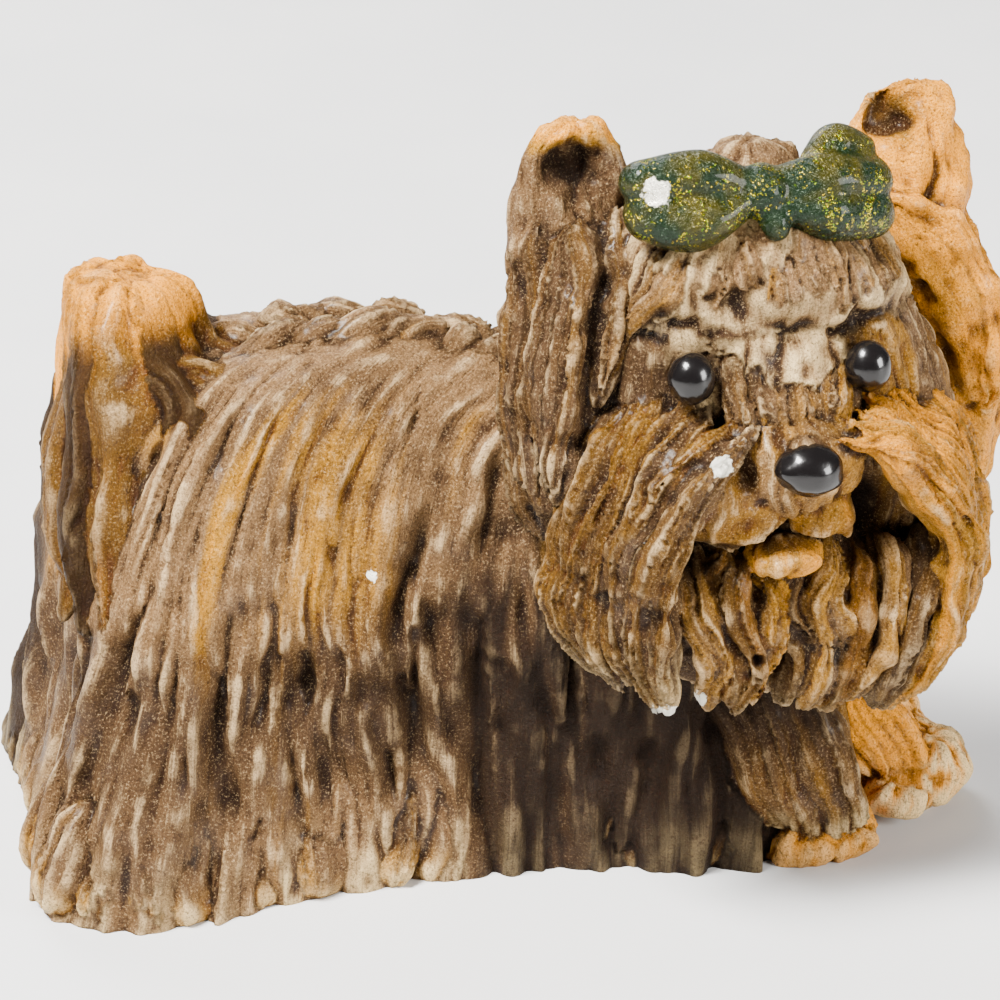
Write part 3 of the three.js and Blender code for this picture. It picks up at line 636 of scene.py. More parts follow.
def fuse(name, things, voxel, triangles, depth=1.0, soften=3, knobbly=1.0, press=()):
    """Presses the loose forms into one closed skin and thins it, combs hair into it, then notes how far each
    point stands out from the surface around it, where a brush or a wash of paint would find it, and where the
    broad hollows take painted shade."""
    with bpy.context.temp_override(active_object=things[0], selected_editable_objects=things):
        bpy.ops.object.join()
    loose = things[0]
    cast = bpy.data.objects.new(name, loose.data.copy())
    bpy.context.scene.collection.objects.link(cast)
    remesh = cast.modifiers.new("fuse", "REMESH")
    remesh.mode, remesh.voxel_size = "VOXEL", voxel
    applied(cast)
    thin = cast.modifiers.new("thin", "DECIMATE")
    thin.ratio = min(1.0, triangles / (2 * len(cast.data.polygons)))
    applied(cast)
    mesh = cast.data
    place = blurred(points_of(mesh), mesh, soften)
    mesh.vertices.foreach_set("co", place.ravel())
    mesh.update()
    with_tree(cast, carry_tree, clay=loose)
    applied(cast)
    bpy.data.objects.remove(loose)
    if depth:
        comb_in(cast.data, depth, knobbly)
    for form in press:
        press_in(cast.data, *form)
    note_relief(cast.data)
    print(name, len(cast.data.polygons), "faces")
    return cast


def press_in(mesh, frame_there, centre, radii, depth):
    """Pushes a hollow into the clay, straight back, as with a ball tool, and darkens the paint in it as
    painted shade.
    """
    back = frame_there.inverted()
    place = points_of(mesh)
    local = place @ np.array(back.to_3x3()).T + np.array(back.translation)
    near = np.exp(-((((local - np.array(centre)) / np.array(radii)) ** 2).sum(1)) ** 1.5)
    place += near[:, None] * depth * np.array(frame_there.to_3x3())[:, 1]
    mesh.vertices.foreach_set("co", place.ravel())
    # Painted shade: the paint's darkness rises in the hollow.
    paint = points_of(mesh, "paint")
    paint[:, 2] += 0.7 * min(depth, 2) * near
    mesh.attributes["paint"].data.foreach_set("vector", paint.ravel().astype(np.float32))
    mesh.update()


def note_relief(mesh):
    place, normal = points_of(mesh), points_of(mesh, "normal")
    narrow = ((place - blurred(place, mesh, 5)) * normal).sum(1)
    # The broad measure finds the wide hollows, which the coat paint darkens as painted shade.
    broad = ((place - blurred(place, mesh, 70)) * normal).sum(1)
    relief = np.stack([narrow / narrow.std(), broad / broad.std(), np.zeros_like(broad)], 1)
    relief = blurred(relief, mesh, 1)
    layer = mesh.attributes.new("relief", "FLOAT_VECTOR", "POINT")
    layer.data.foreach_set("vector", relief.ravel().astype(np.float32))


def grind_flat(cast):
    """The casting is ground flat underneath, on the surface that it stands on."""
    form = bmesh.new()
    form.from_mesh(cast.data)
    everything = form.verts[:] + form.edges[:] + form.faces[:]
    bmesh.ops.bisect_plane(form, geom=everything, plane_co=(0, 0, 0), plane_no=(0, 0, 1), clear_inner=True)
    rim = [edge for edge in form.edges if edge.is_boundary]
    flat = bmesh.ops.holes_fill(form, edges=rim, sides=0)["faces"]
    bmesh.ops.triangulate(form, faces=flat)
    form.to_mesh(cast.data)
    form.free()


def set_down(cast, move):
    """From the sculptor's units to metres, on the spot where the part stands."""
    cast.data.transform(Matrix.Diagonal((unit, unit, unit, 1)) @ Matrix.Translation(move))
    cast.data.update()
    for polygon in cast.data.polygons:
        polygon.use_smooth = True


def linear(red, green, blue):
    """A paint's colour as it looks, turned into the light it reflects."""
    shares = [c / 255 for c in (red, green, blue)]
    return tuple(((c + 0.055) / 1.055) ** 2.4 if c > 0.04 else c / 12.92 for c in shares) + (1.0,)


def node(tree, kind, inputs=None, **settings):
    made = tree.nodes.new(kind)
    for key, value in settings.items():
        setattr(made, key, value)
    for key, value in (inputs or {}).items():
        if isinstance(value, bpy.types.NodeSocket):
            tree.links.new(value, made.inputs[key])
        else:
            made.inputs[key].default_value = value
    return made


def reckon(tree, operation, a, b=0.0, clamp=False):
    return node(tree, "ShaderNodeMath", {0: a, 1: b}, operation=operation, use_clamp=clamp).outputs[0]


def times(tree, a, b):
    return reckon(tree, "MULTIPLY", a, b)


def less(tree, start, value, share):
    """The start, less that share of the value."""
    return reckon(tree, "SUBTRACT", start, times(tree, value, share))


def attribute(tree, name):
    return node(tree, "ShaderNodeAttribute", attribute_name=name).outputs["Vector"]


def parts(tree, vector):
    return node(tree, "ShaderNodeSeparateXYZ", {0: vector}).outputs


def blend(tree, share, under, over):
    return node(tree, "ShaderNodeMix", {0: share, 6: under, 7: over}, data_type="RGBA").outputs[2]


def between(tree, value, low, high):
    """0 below low, 1 above high, eased in between. High may be the smaller one."""
    settings = {"Value": value, "From Min": low, "From Max": high}
    return node(tree, "ShaderNodeMapRange", settings, interpolation_type="SMOOTHSTEP").outputs[0]


def noise(tree, place, scale, detail=3.0, roughness=0.6, stretch=(1, 1, 1)):
    if stretch != (1, 1, 1):
        place = node(tree, "ShaderNodeMapping", {"Vector": place, "Scale": stretch}).outputs[0]
    settings = {"Vector": place, "Scale": scale, "Detail": detail, "Roughness": roughness}
    return node(tree, "ShaderNodeTexNoise", settings).outputs["Fac"]


def new_group(name, inputs, outputs):
    tree = bpy.data.node_groups.new(name, "ShaderNodeTree")
    for direction, sockets in (("INPUT", inputs), ("OUTPUT", outputs)):
        for label, (kind, value) in sockets.items():
            socket = tree.interface.new_socket(label, in_out=direction, socket_type="NodeSocket" + kind)
            if value is not None:
                socket.default_value = value
    return tree, tree.nodes.new("NodeGroupInput"), tree.nodes.new("NodeGroupOutput")


def make_spatter():
    """Fine dots of paint off a stiff brush, and a soft unevenness under them."""
    tree, given, made = new_group(
        "spattered paint",
        {"Dot Size": ("Float", 0.0002), "Amount": ("Float", 0.5)},
        {"Dots": ("Float", None), "Cloud": ("Float", None)},
    )
    place = node(tree, "ShaderNodeTexCoord").outputs["Object"]
    scale = reckon(tree, "DIVIDE", 1.0, given.outputs["Dot Size"])
    dots = noise(tree, place, scale, 2.0, 0.7)
    limit = less(tree, 0.72, given.outputs["Amount"], 0.25)
    over = reckon(tree, "SUBTRACT", dots, limit)
    tree.links.new(reckon(tree, "MULTIPLY", over, 9.0, clamp=True), made.inputs["Dots"])
    cloud = noise(tree, place, times(tree, scale, 0.09), 3.0)
    tree.links.new(cloud, made.inputs["Cloud"])
    return tree


def make_chip():
    """A flake of paint that is gone, with a ragged edge, at one place."""
    tree, given, made = new_group(
        "chipped paint",
        {"Centre": ("Vector", (0, 0, 0)), "Size": ("Float", 0.001)},
        {"Bare": ("Float", None)},
    )
    place = node(tree, "ShaderNodeTexCoord").outputs["Object"]
    ends = {0: place, 1: given.outputs["Centre"]}
    away = node(tree, "ShaderNodeVectorMath", ends, operation="DISTANCE").outputs["Value"]
    ragged = times(tree, noise(tree, place, 1900.0, 3.0), 0.9)
    share = reckon(tree, "ADD", reckon(tree, "DIVIDE", away, given.outputs["Size"]), ragged)
    tree.links.new(between(tree, share, 1.0, 0.9), made.inputs["Bare"])
    return tree


spatter, chip = make_spatter(), make_chip()
STANDS_AT = Vector((1.812, 7.139, 0))
TAUPE, PALE_TAUPE = linear(118, 88, 55), linear(222, 188, 138)
HONEY, AMBER = linear(168, 116, 22), linear(222, 142, 6)
# The darkest of these three browns is painted shade in the broad hollows and the shaded places, and the
# deepest brown of the tail's lower locks.
WASH, WARM_WASH, SHADE_AND_DEEP_BROWN = linear(38, 20, 8), linear(88, 46, 8), linear(16, 8, 4)
CREAM = linear(234, 204, 146)
BARE_RESIN = linear(246, 240, 222)
CHIPS = [
    ((12.2, -31.8, 26.1), 2.6), ((15.2, -31.6, 26.9), 2.2), ((-14.1, -15.6, 33.7), 1.15),
    ((16.8, -34.6, 52.7), 2.1),
]


def chipped(tree, base, places):
    """Bare resin where the paint is gone. Places and widths are in the sculptor's units."""
    for centre, width in places:
        flake = node(tree, "ShaderNodeGroup", node_tree=chip)
        flake.inputs["Centre"].default_value = (Vector(centre) + STANDS_AT) * unit
        flake.inputs["Size"].default_value = width * unit
        base = blend(tree, flake.outputs["Bare"], base, BARE_RESIN)
    return base


def hair_paint(name):
    """The coat's paint: an amber base, taupe over it, a dark wash that stays in the grooves, a pale dry brush
    over the ridges, dots off a stiff brush, and a thin satin varnish. Over them goes painted shade: the
    darkest brown in the broad hollows, and wherever the paint's darkness runs high, as under the head."""
    material = bpy.data.materials.new(name)
    material.use_nodes = True
    tree = material.node_tree
    skin = tree.nodes["Principled BSDF"]
    comb = attribute(tree, "comb")
    warmth, tip, darkness = parts(tree, attribute(tree, "paint"))
    narrow, broad, _ = parts(tree, attribute(tree, "relief"))
    place = node(tree, "ShaderNodeTexCoord").outputs["Object"]
    spattered = node(tree, "ShaderNodeGroup", node_tree=spatter)
    spattered.inputs["Dot Size"].default_value = 0.00022
    spattered.inputs["Amount"].default_value = 0.55
    dots, cloud = spattered.outputs["Dots"], spattered.outputs["Cloud"]

    streaks = noise(tree, comb, 1.0, 3.0, 0.55, (0.42, 0.05, 1))
    hairs = noise(tree, comb, 1.0, 4.0, 0.7, (2.6, 0.14, 1))
    patches = noise(tree, place, 260.0, 3.0)
    dust = noise(tree, place, 8200.0, 2.0, 0.8)
    warm = reckon(tree, "ADD", warmth, times(tree, reckon(tree, "SUBTRACT", streaks, 0.5), 1.1))
    amber = between(tree, warm, 0.75, 1.15)
    raised = reckon(tree, "ADD", narrow, times(tree, reckon(tree, "SUBTRACT", hairs, 0.5), 2.4))
    # The paint's darkness, with patches, lays the wash brown, and past 0.7 it marks shade. Under the head, on
    # the near foreleg, at the far rear corner, on the shaded hem bundles and in the hollows pressed into the
    # face, this is painted shade; on the left side of the head it is partly painted shade, and on the tail's
    # lower locks it is dark paint.
    brown = reckon(tree, "ADD", darkness, times(tree, between(tree, patches, 0.5, 0.66), 0.42), clamp=True)
    shade = between(tree, darkness, 0.7, 2.0)
    dry = times(tree, between(tree, raised, 0.35, 1.7), between(tree, cloud, 0.3, 0.55))
    dry = times(tree, dry, less(tree, 1.0, shade, 0.85))
    dry = times(tree, dry, less(tree, 1.0, amber, 0.8))
    base = blend(tree, between(tree, warm, 0.25, 0.75), TAUPE, HONEY)
    base = blend(tree, amber, base, AMBER)
    in_grooves = blend(tree, between(tree, warm, 0.3, 0.8), WASH, WARM_WASH)
    for over, share, strength in (
        (WASH, brown, 0.7),
        (in_grooves, between(tree, raised, 0.1, -1.3), 0.85),
        # Painted shade: the darkest brown in the broad hollows of the surface.
        (SHADE_AND_DEEP_BROWN, between(tree, broad, -0.1, -1.7), 0.75),
        # Painted shade where the paint's darkness runs past 0.7, and the deepest brown of the tail's lower
        # locks.
        (SHADE_AND_DEEP_BROWN, shade, 0.92),
        (PALE_TAUPE, dry, 0.55),
        (CREAM, times(tree, tip, between(tree, raised, -0.8, 1.0)), 0.85),
        (WASH, dots, 0.6),
        (WASH, between(tree, dust, 0.5, 0.34), 0.5),
        (PALE_TAUPE, between(tree, dust, 0.54, 0.7), less(tree, 0.26, shade, 0.24)),
    ):
        base = blend(tree, times(tree, share, strength), base, over)
    tree.links.new(chipped(tree, base, CHIPS), skin.inputs["Base Color"])

    rough = reckon(tree, "ADD", 0.36, times(tree, cloud, 0.3))
    tree.links.new(rough, skin.inputs["Roughness"])
    skin.inputs["Coat Roughness"].default_value = 0.26
    skin.inputs["Specular IOR Level"].default_value = 0.08
    lacquer = times(tree, between(tree, cloud, 0.45, 0.7), less(tree, 0.2, shade, 0.18))
    tree.links.new(lacquer, skin.inputs["Coat Weight"])
    fur = reckon(tree, "ADD", times(tree, hairs, 0.5), noise(tree, place, 3600.0, 4.0, 0.75))
    bump = node(tree, "ShaderNodeBump", {"Height": fur, "Distance": 0.00026, "Strength": 1.0})
    tree.links.new(bump.outputs[0], skin.inputs["Normal"])
    return material


coat_paint = hair_paint("hand painted coat")
body = fuse("body", body_clay, 0.34, 196000, soften=4, knobbly=0.4)
grind_flat(body)
set_down(body, STANDS_AT)
body.data.materials.clear()
body.data.materials.append(coat_paint)
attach(body, "root")
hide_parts("dog_figurine")


# The head: a long beard and moustache in locks, a broad combed forehead, upright ears with fringes down the
# cheeks, and a mouth pressed into the beard. It is cast in one with the body, and painted as the body is.
HEAD = Matrix.Translation((21.2, -15.2, 50))
HEAD = HEAD @ Matrix.Rotation(math.radians(11), 4, "Z") @ Matrix.Rotation(math.radians(-6), 4, "X")
HEAD = HEAD @ Matrix.Rotation(math.radians(3), 4, "Y")
HEAD_HEART = (1, 2, 0)
HEAD_STRANDS = 22
SKULL = [
    (25.5, 0, 0, 0, -1), (24, 6, 5, 5.5, -1), (20.5, 11, 9.5, 10, -0.5), (16, 14, 11.5, 12, 0),
    (11, 16.5, 12.6, 13, 0.3), (6, 18.5, 13, 14, 0.8), (0, 20, 13, 14, 1), (-6, 20.5, 12.5, 13.5, 1.4),
    (-12, 20, 11.6, 12, 1.8), (-17, 18, 11.2, 10, 2), (-22, 14, 10.6, 7, 2), (-26, 8, 9.6, 3, 2),
    (-27.5, 0, 0, 0, 2),
]
skull_rows = smooth_path(SKULL)


def skull(around, down):
    turn = 2 * np.pi * around
    height, half, front, behind, shift = (along(skull_rows[:, k], down) for k in range(5))
    half, front, behind = (np.maximum(value, 0) for value in (half, front, behind))
    forward = -np.sin(turn)
    strand = around * HEAD_STRANDS
    crown = np.abs(np.sin(np.pi * (strand - np.floor(strand))))
    hair = (crown - 0.5) * (0.8 + whim(np.floor(strand), 300)) * ease(-height, -16, 4) * 0.9
    wander = around + 0.008 * grain(around * 24, down * 6, 21, 24)
    shorter = shingles(wander, down, 80, (0.1, 0.7), (0.14, 0.3), (0.008, 0.018), (0.4, 1.1), 0.03, 15)
    fine = 0.5 - np.abs(grain(wander * 120, down * 7, 23, 120))
    finer = 0.5 - np.abs(grain(wander * 260, down * 14, 24, 260))
    detail = (shorter - 0.4 + 0.55 * fine + 0.25 * finer) * np.clip(np.sin(np.pi * down) * 3, 0, 1)
    reach = 1 + hair / (half + 1) * np.where(forward > 0.72, 0.2, 1) + detail / (half + 3)
    x = half * np.cos(turn) * reach + shift
    y = np.where(forward > 0, -front * np.abs(forward) ** 0.75, -behind * forward) * reach
    warm = 0.3 + 0.35 * grain(around * 30, down * 3, 25, 30)
    # The left side of the head is painted darker than the right: partly its own paint, partly painted shade.
    paint = np.stack([warm, 0 * warm, 0.75 - 0.5 * np.cos(turn)], -1)
    return np.stack([x, y, height + 0 * x], -1), paint, 0


MOUSTACHE = {
    "left": {
        "inner": [(-4, -16.8, 3), (-9, -16.4, -1), (-12.3, -14.8, -8), (-12.4, -13, -17.5), (-10, -12, -26)],
        "outer": [
            (-13.5, -9.8, 6), (-17, -8.2, -1), (-18.4, -6.6, -10), (-18.2, -5.8, -17),
            (-15, -6.2, -24),
        ],
    },
    "right": {
        "inner": [
            (3.2, -18.8, 2.4), (10.5, -17.4, -1), (16, -15.2, -9.5), (16.4, -12.8, -19),
            (11.5, -11.6, -27),
        ],
        "outer": [(12.5, -10.2, 6), (18.4, -8, -1.5), (21.2, -5.2, -9), (22, -4.2, -17.5), (18.2, -6, -25.4)],
    },
}
MOUSTACHE_LOCKS = 7
moustache_guides = []
for side, lines in enumerate(MOUSTACHE.values()):
    for n in range(MOUSTACHE_LOCKS):
        share = n / (MOUSTACHE_LOCKS - 1)
        path = mix(np.array(lines["inner"]), np.array(lines["outer"]), share)
        path[4, 2] = mix(path[3, 2], path[4, 2], 0.9 + 0.2 * float(whim(n + 7 * side)))
        path[0, 1] += 2.6 * share + 0.6
        sway = np.array([0.5 * math.sin(2.3 * n + i) for i in range(3)])
        path[1:4] += sway[:, None] * np.array([1, -0.4, 0])
        size = mix(0.9, 0.8, share)
        # The left locks are painted darker than the right: partly their own paint, partly painted shade.
        moustache_guides.append({
            "path": path, "radii": [size * r for r in (0.9, 1.8, 2.2, 2.1, 1.1)],
            "paint": (0.2 + 0.5 * side + 0.4 * float(whim(n, 3 + side)), 0.1, 0.9 - 0.6 * side),
            "paint_below": (0.4 + 0.3 * side, 0.4 * float(whim(n, 8 + side)), 1.1 - 0.7 * side),
        })
chin_guides = []
for n in range(8):
    top, foot = mix(-7.5, 14.5, n / 7), mix(-6, 10.5, n / 7)
    end, sway = -27.6 + 2.6 * float(whim(n, 60)), 2.4 * float(whim(n, 64)) - 1.2
    size = 0.75 + 0.5 * float(whim(n, 65))
    chin_guides.append({
        "path": [
            (top, -10.6, -10), (top + sway, -12.8, -15), ((top + foot) / 2 - sway, -12.9, -20),
            (foot, -11.6, end),
        ],
        "radii": [size * r for r in (1.5, 2, 1.9, 1)],
        "paint": (0.3 + 0.7 * float(whim(n, 61)), 0.1, 0.5 + 0.8 * (n % 2)),
    })
brow_guides = []
for n in range(7):
    share = n / 6
    x = mix(-11.6, 10.6, share)
    low = 8.6 + 4.4 * float(whim(n, 110))
    back, lean = 0.017 * x * x, 6 * (float(whim(n, 115)) - 0.5)
    brow_guides.append({
        "path": [
            (x + lean, back - 8.8, low), (x * 0.86, back - 11.3, (low + 20.4) / 2),
            (x * 0.72 - 0.4, 0.7 * back - 8.8, 20.4),
        ],
        "radii": (0.6, 1.9, 1.4), "paint": (0.1 + 0.25 * float(whim(n, 63)), 0.5, 0.1),
    })
bridge_guides = []
for n in range(9):
    side, long = n - 4, 4.5 + 5 * float(whim(n, 120))
    bridge_guides.append({
        "path": [
            (0.9 * side, -14.9 + 0.12 * abs(side), 1.2), (1.25 * side, -13.9, 1.2 + 0.45 * long),
            (1.55 * side, -12.2, 1.2 + long),
        ],
        "radii": (0.8, 1.25, 0.6),
        "paint": (0.1 + 0.4 * float(whim(n, 121)), 0.2, 0.3 + 0.6 * float(whim(n, 122))),
    })
EAR_FRINGES = [
    ([(-20, 0.6, 23), (-19.6, 0, 13), (-20, -1, 2), (-19.6, -2.4, -9)], (1.5, 2.4, 2.7, 1.4)),
    ([(-16.6, -2, 20), (-18, -5, 11), (-19.3, -6, 2), (-19.6, -6.6, -6)], (1.7, 2.6, 2.5, 1.2)),
    ([(-13, -1.5, 20), (-14.5, -5.5, 12), (-16.5, -8, 4)], (1.3, 2, 1)),
    ([(-16.5, 4, 20), (-17.6, 4.6, 8), (-18, 4.6, -4), (-17, 4, -14)], (2, 3, 3.2, 1.6)),
    ([(13.5, 0.2, 20), (19.8, -0.4, 14), (24.3, 0.8, 6), (25.4, 2.2, -2)], (1.8, 2.9, 3, 1.8)),
    ([(21, 1.6, 18), (23.8, 3.4, 8), (25, 4, -3), (24.4, 4.2, -14)], (2, 3.2, 3.4, 1.6)),
    ([(18, 6, 20), (21, 7.6, 8), (22, 7.6, -4), (20, 6.4, -15)], (2, 3.6, 3.8, 1.8)),
]
# The fringes on the left are painted dark and those on the right amber: partly their own paint, partly
# painted shade on the left.
fringe_guides = [
    {"path": path, "radii": radii, "paint": (0.2, 0.0, 1.0) if path[0][0] < 0 else (1.0, 0.1, 0.1)}
    for path, radii in EAR_FRINGES
]
# The left ear is painted dull and the right one amber: partly their own paint, partly painted shade on the
# left.
EARS = [
    {"flap": ((-17.2, 0.6, 19.5), (6, 3.3, 9.6)), "cup": (-16.8, -3.2, 24.2, 3.3, 2.9), "warm": 0.1},
    {"flap": ((17.4, 2.4, 20.4), (6.4, 3.4, 10)), "cup": (15.2, -1.6, 27.2, 2.2, 2.8), "warm": 1.2},
]


def ear(flap, cup, warm, seed):
    centre, radii = flap

    def place(around, down):
        turn, fall = 2 * np.pi * around, np.pi * down
        ring = np.sin(fall)
        uneven = 1 + 0.06 * ring * grain(around * 8, down * 6, seed, 8)
        ring = ring ** 0.75
        way = np.stack([ring * np.cos(turn), ring * np.sin(turn), np.cos(fall)], -1)
        at = way * np.array(radii) * uneven[..., None] + np.array(centre)
        off = ((at[..., 0] - cup[0]) / cup[3]) ** 2 + ((at[..., 2] - cup[2]) / cup[4]) ** 2
        hollow = np.exp(-off ** 2) * (way[..., 1] < 0.1)
        at[..., 1] += 3.2 * hollow + 0.25 * ring * np.abs(grain(around * 60, down * 5, seed + 3, 60))
        # The rim is painted amber. Below it the left ear is darkened, partly its own dull paint and partly
        # painted shade, and the hollow of each cup is darkened as painted shade.
        rim = 1.1 * ease(way[..., 2], 0.45, 0.9)
        shade_and_dark_paint = 0.5 * (warm < 1) * (1 - np.minimum(rim, 1))
        return at, np.stack([np.maximum(warm, rim) - 0.5 * hollow, 0 * hollow, shade_and_dark_paint + 1.2 * hollow], -1), 0
    return clay("ear", 220, 150, place, (30, 20))


head_core = fuse("head core", [
    clay("skull", 520, 300, skull, (260, 60)),
    lump("forehead", (-0.8, -6.0, 13.8), (14.8, 7.0, 9.6), (160, 100), 1.2, 4, warm=0.15, tip=0.4, dark=0.0),
    lump("bridge", (-0.6, -9.9, 5), (8.4, 4.2, 10), (96, 64), 1.0, warm=0.25, tip=0.5, dark=0.0),
    lump("muzzle", (0.4, -13.2, -1.2), (7.6, 6.2, 5.6), rough=0.5, warm=0.5, dark=0.3),
], 0.5, 150000, depth=0, soften=40)
head_clay = [
    head_core,
    locks("moustache", moustache_guides, HEAD_HEART, 1.15, 36, 7, 0.22, 44, wisps=2),
    locks("chin", chin_guides, HEAD_HEART, 1.2, 28, 5, 0.3, 30, wisps=2),
    locks("brow", brow_guides, (0, 2, 14), 1.3, 28, 6, 0.25, wisps=2),
    locks("bridge", bridge_guides, (0, 2, 4), 1.3, 24, 5, 0.25, 22, wisps=2),
    locks("ear fringes", fringe_guides, HEAD_HEART, 1.3, 32, 7, 0.2, 34, wisps=2),
    lump("left lip", (-5.8, -14.2, -4.6), (5.8, 3.6, 4.2), (96, 64), 1.4, 6, warm=0.7, dark=0.75),
    lump("right lip", (3.8, -14.6, -5.8), (3.8, 3.2, 3.0), (96, 64), 0.8, 7, warm=0.8, dark=0.6),
    lump("drip", (5.6, -15.2, -8), (1.3, 1.2, 1.7), seed=8, warm=0.95),
    lump("lower lip", (0.4, -13.6, -10.9), (3.8, 3.4, 1.9), (96, 64), 0.8, 9, warm=0.9, dark=0.1),
    lump("topknot", (-1, -3, 23.6), (5, 4.6, 3.6), rough=1.2, warm=0.0, dark=0.4),
    lump("nose root", (0.4, -16.6, -0.4), (3.6, 3, 3.2), warm=0.2, dark=0.5),
] + [ear(seed=30 + n, **form) for n, form in enumerate(EARS)]
# Hollows pressed into the face, each darkened as painted shade: the corners and the opening of the mouth, the
# eye sockets, a parting in the chin and short creases over the brows.
MOUTH = [
    ((-8.8, -14, -10.4), (2.0, 5, 2.2), 3.4), ((8.8, -13.5, -7.4), (3.4, 5, 3.2), 3.4),
    ((-1, -15.5, -9.0), (7.4, 3, 0.7), 1.6), ((-9.5, -15, 7.3), (2.9, 3.2, 3.1), 1.2),
    ((7.9, -15, 7.3), (2.9, 3.2, 3.1), 1.2), ((-2.4, -14, -20.4), (0.6, 4, 0.7), 1.3),
    ((-12.8, -12, 10.4), (1.8, 4, 0.8), 0.8), ((-9.8, -13, 11.9), (2.0, 4, 0.8), 0.9),
    ((-6.6, -13, 10.9), (1.9, 4, 0.8), 0.8), ((5.4, -13, 10.7), (1.7, 4, 0.7), 0.6),
    ((8.4, -12.6, 11.8), (2.0, 4, 0.7), 0.7),
]
for thing in head_clay:
    knead(thing, 0.6, 5)
    thing.data.transform(HEAD)
head = fuse("head", head_clay, 0.3, 196000, depth=1.2, soften=5, press=[(HEAD, *form) for form in MOUTH])
set_down(head, STANDS_AT)
head.data.materials.clear()
head.data.materials.append(coat_paint)
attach(head, "root")
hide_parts("dog_figurine")


# The bow, cast with the head: two plump loops of two folds each, a knot and a short tail. It is painted in
# dark green gloss with gold and green glitter.
KNOT = (-2.4, -10.6, 24)
BOW_FOLDS = [
    ([KNOT, (-8, -10, 25.4), (-15.6, -8.6, 24.4)], (1.4, 2.5, 2.2)),
    ([KNOT, (-8.6, -11, 21.6), (-15.2, -8.8, 22.2)], (1.4, 2.7, 2.2)),
    ([KNOT, (4, -10.2, 24.6), (11.2, -8.6, 23.8)], (1.6, 2.5, 2.3)),
    ([KNOT, (4, -11.2, 21.6), (11.2, -9.2, 21)], (1.6, 2.6, 2.3)),
    ([(2.5, -9, 25), (6, -7.6, 27), (10, -7.4, 25.4)], (1.2, 2, 1.6)),
    ([KNOT, (-1.4, -12, 21.4), (-1, -12.4, 19.4)], (1, 1.5, 1)),
]


BOW_CHIPS = [((11.6, -26.3, 76.4), 2.6)]


def glitter_paint(name):
    """Green gloss paint with flakes of glitter in it, gold to green, each tilted its own way."""
    material = bpy.data.materials.new(name)
    material.use_nodes = True
    tree = material.node_tree
    skin = tree.nodes["Principled BSDF"]
    place = node(tree, "ShaderNodeTexCoord").outputs["Object"]
    flakes = node(tree, "ShaderNodeTexVoronoi", {"Vector": place, "Scale": 11500.0})
    chance = parts(tree, flakes.outputs["Color"])
    clusters = between(tree, noise(tree, place, 620.0, 4.0, 0.7), 0.47, 0.66)
    cover = reckon(tree, "GREATER_THAN", chance["X"], less(tree, 0.97, clusters, 0.62))
    flake = blend(tree, chance["Y"], linear(70, 104, 14), linear(186, 160, 30))
    patches = noise(tree, place, 500.0, 2.0)
    under = blend(tree, between(tree, patches, 0.4, 0.65), linear(14, 30, 12), linear(52, 48, 6))
    base = blend(tree, times(tree, cover, 0.8), under, flake)
    tree.links.new(chipped(tree, base, BOW_CHIPS), skin.inputs["Base Color"])
    foil = reckon(tree, "ADD", 0.35, times(tree, cover, 0.6))
    tree.links.new(foil, skin.inputs["Metallic"])
    skin.inputs["Roughness"].default_value = 0.27
    skin.inputs["Specular IOR Level"].default_value = 0.2
    skin.inputs["Coat Weight"].default_value = 0.12
    skin.inputs["Coat Roughness"].default_value = 0.08
    dents = noise(tree, place, 1300.0, 4.0, 0.7)
    dents = node(tree, "ShaderNodeBump", {"Height": dents, "Distance": 0.0005, "Strength": 0.8})
    about_zero = {0: flakes.outputs["Color"], 1: (0.5, 0.5, 0.5)}
    tilt = node(tree, "ShaderNodeVectorMath", about_zero, operation="SUBTRACT")
    tilt = node(tree, "ShaderNodeVectorMath", {0: tilt.outputs[0], "Scale": 0.6}, operation="SCALE")
    turned = node(tree, "ShaderNodeVectorMath", {0: dents.outputs[0], 1: tilt.outputs[0]}, operation="ADD")
    turned = node(tree, "ShaderNodeVectorMath", {0: turned.outputs[0]}, operation="NORMALIZE")
    tree.links.new(turned.outputs[0], skin.inputs["Normal"])
    return material


bow_clay = [
    locks("folds", [{"path": p, "radii": r} for p, r in BOW_FOLDS], (0, 4, 16), 1.1, 40, 3, 0.06, 36),
    lump("knot", KNOT, (2.6, 2.4, 2.7), rough=0.8),
]
for thing in bow_clay:
    knead(thing, 0.3, 5)
    thing.data.transform(HEAD)
bow = fuse("bow", bow_clay, 0.26, 40000, depth=0, soften=7)
set_down(bow, STANDS_AT)
bow.data.materials.clear()
bow.data.materials.append(glitter_paint("green glitter"))
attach(bow, "root")
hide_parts("dog_figurine")


# The eyes and the nose: domes cast with the face and dotted over with thick black gloss.
def black_gloss(name):
    material = bpy.data.materials.new(name)
    material.use_nodes = True
    tree = material.node_tree
    skin = tree.nodes["Principled BSDF"]
    skin.inputs["Base Color"].default_value = linear(12, 10, 10)
    skin.inputs["Specular IOR Level"].default_value = 0.3
    skin.inputs["Coat Weight"].default_value = 0.25
    skin.inputs["Coat Roughness"].default_value = 0.05
    place = node(tree, "ShaderNodeTexCoord").outputs["Object"]
    uneven = noise(tree, place, 900.0, 3.0)
    tree.links.new(reckon(tree, "ADD", 0.1, times(tree, uneven, 0.25)), skin.inputs["Roughness"])
    bump = node(tree, "ShaderNodeBump", {"Height": uneven, "Distance": 0.00006, "Strength": 0.6})
    tree.links.new(bump.outputs[0], skin.inputs["Normal"])
    return material


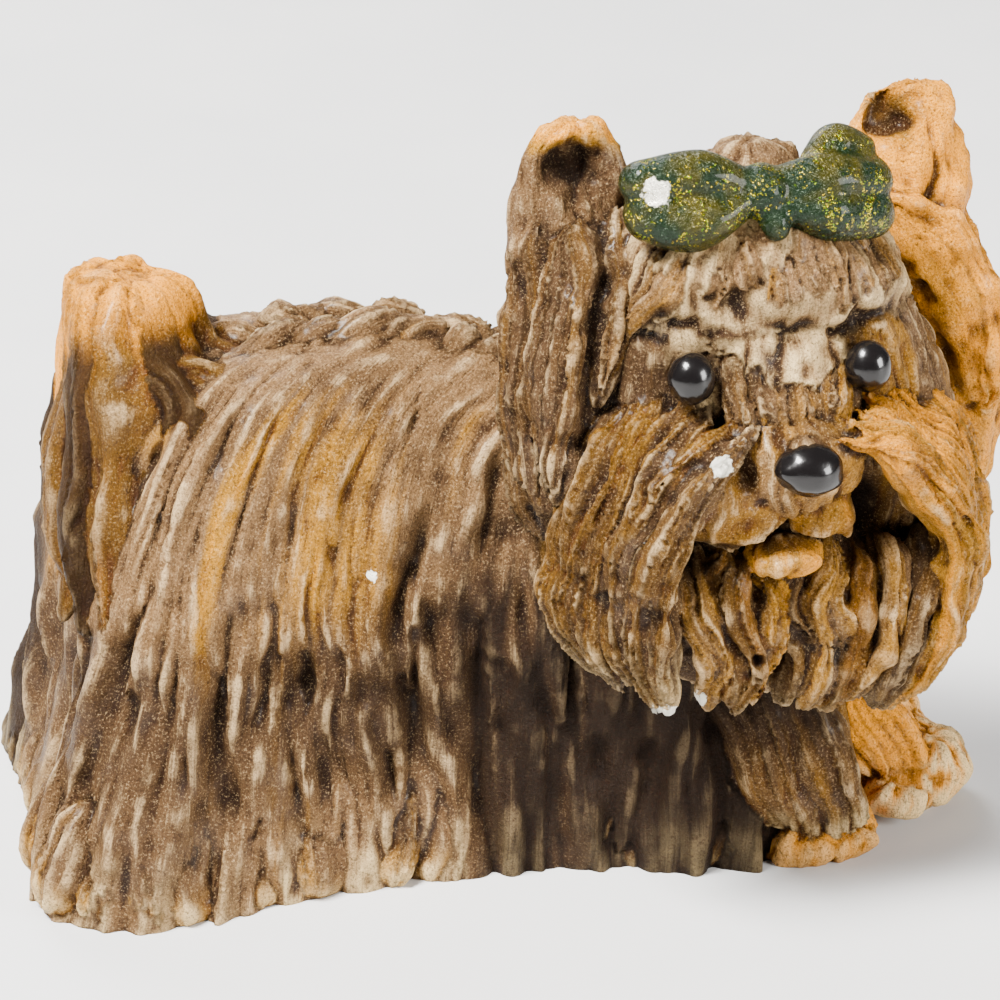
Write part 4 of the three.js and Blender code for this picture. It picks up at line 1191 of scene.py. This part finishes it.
gloss = black_gloss("thick black gloss")
for name, centre, radii in (
    ("left_eye", (-9.5, -13.4, 7.3), (2.2, 2, 2.5)), ("right_eye", (7.9, -13.4, 7.3), (2.2, 2, 2.5)),
    ("nose", (0.4, -19, -0.5), (3.2, 2.4, 2.55)),
):
    dome = lump(name, centre, radii, (96, 64), 0.9 if name == "nose" else 0.35, 3)
    dome.data.transform(HEAD)
    set_down(dome, STANDS_AT)
    dome.data.materials.append(gloss)
    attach(dome, "root")
    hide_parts("dog_figurine")


# The studio: a pale floor that curves up behind, one big soft light from the upper left, a weaker one from
# the right, and the camera where the photograph was taken from.
def studio_floor():
    turn = np.linspace(0, 1, 13) * math.pi / 2
    curve = [(0.35 + 0.2 * math.sin(a), 0.2 - 0.2 * math.cos(a)) for a in turn]
    profile = [(-0.6, 0.0), *curve, (0.55, 0.9)]
    points = [(x, y, z) for x in (-1.2, 1.2) for y, z in profile]
    count = len(profile)
    faces = [(i, i + count, i + count + 1, i + 1) for i in range(count - 1)]
    floor = new_mesh("floor", np.array(points), faces)
    material = bpy.data.materials.new("pale floor")
    material.use_nodes = True
    tree = material.node_tree
    place = node(tree, "ShaderNodeTexCoord").outputs["Object"]
    cloud = between(tree, noise(tree, place, 30.0, 3.0), 0.3, 0.7)
    skin = tree.nodes["Principled BSDF"]
    grey = blend(tree, cloud, linear(196, 196, 196), linear(204, 203, 202))
    tree.links.new(grey, skin.inputs["Base Color"])
    skin.inputs["Roughness"].default_value = 0.55
    floor.data.materials.append(material)
    for polygon in floor.data.polygons:
        polygon.use_smooth = True
    return floor


studio_floor()
aim = STANDS_AT * unit + Vector((0, 0, 0.017))
for name, spot, energy, size, colour in (
    ("window", (-0.18, -0.12, 0.38), 11.4, 0.14, (1, 0.985, 0.96)),
    ("fill", (0.32, -0.22, 0.14), 3.1, 0.16, (1, 0.99, 0.97)),
    ("rim", (-0.1, 0.3, 0.25), 1.6, 0.2, (0.97, 0.98, 1)),
):
    lamp = bpy.data.lights.new(name, "AREA")
    lamp.energy, lamp.size, lamp.color = energy, size, colour
    holder = bpy.data.objects.new(name, lamp)
    bpy.context.scene.collection.objects.link(holder)
    holder.location = spot
    holder.rotation_mode = "QUATERNION"
    holder.rotation_quaternion = (aim - Vector(spot)).to_track_quat("-Z", "Y")
world = bpy.data.worlds.new("room")
bpy.context.scene.world = world
world.use_nodes = True
world.node_tree.nodes["Background"].inputs["Color"].default_value = (0.75, 0.8, 0.88, 1)
world.node_tree.nodes["Background"].inputs["Strength"].default_value = 0.12

AZIMUTH, ELEVATION = math.radians(-6), math.radians(25)
towards = Vector((
    math.sin(AZIMUTH) * math.cos(ELEVATION), -math.cos(AZIMUTH) * math.cos(ELEVATION), math.sin(ELEVATION),
))
lens = bpy.data.cameras.new("photographer")
lens.lens, lens.sensor_width, lens.clip_start = 158.4, 36, 0.01
camera = bpy.data.objects.new("photographer", lens)
bpy.context.scene.collection.objects.link(camera)
camera.location = aim + towards * 0.22
camera.rotation_mode = "QUATERNION"
camera.rotation_quaternion = (-towards).to_track_quat("-Z", "Y")
bpy.context.scene.camera = camera
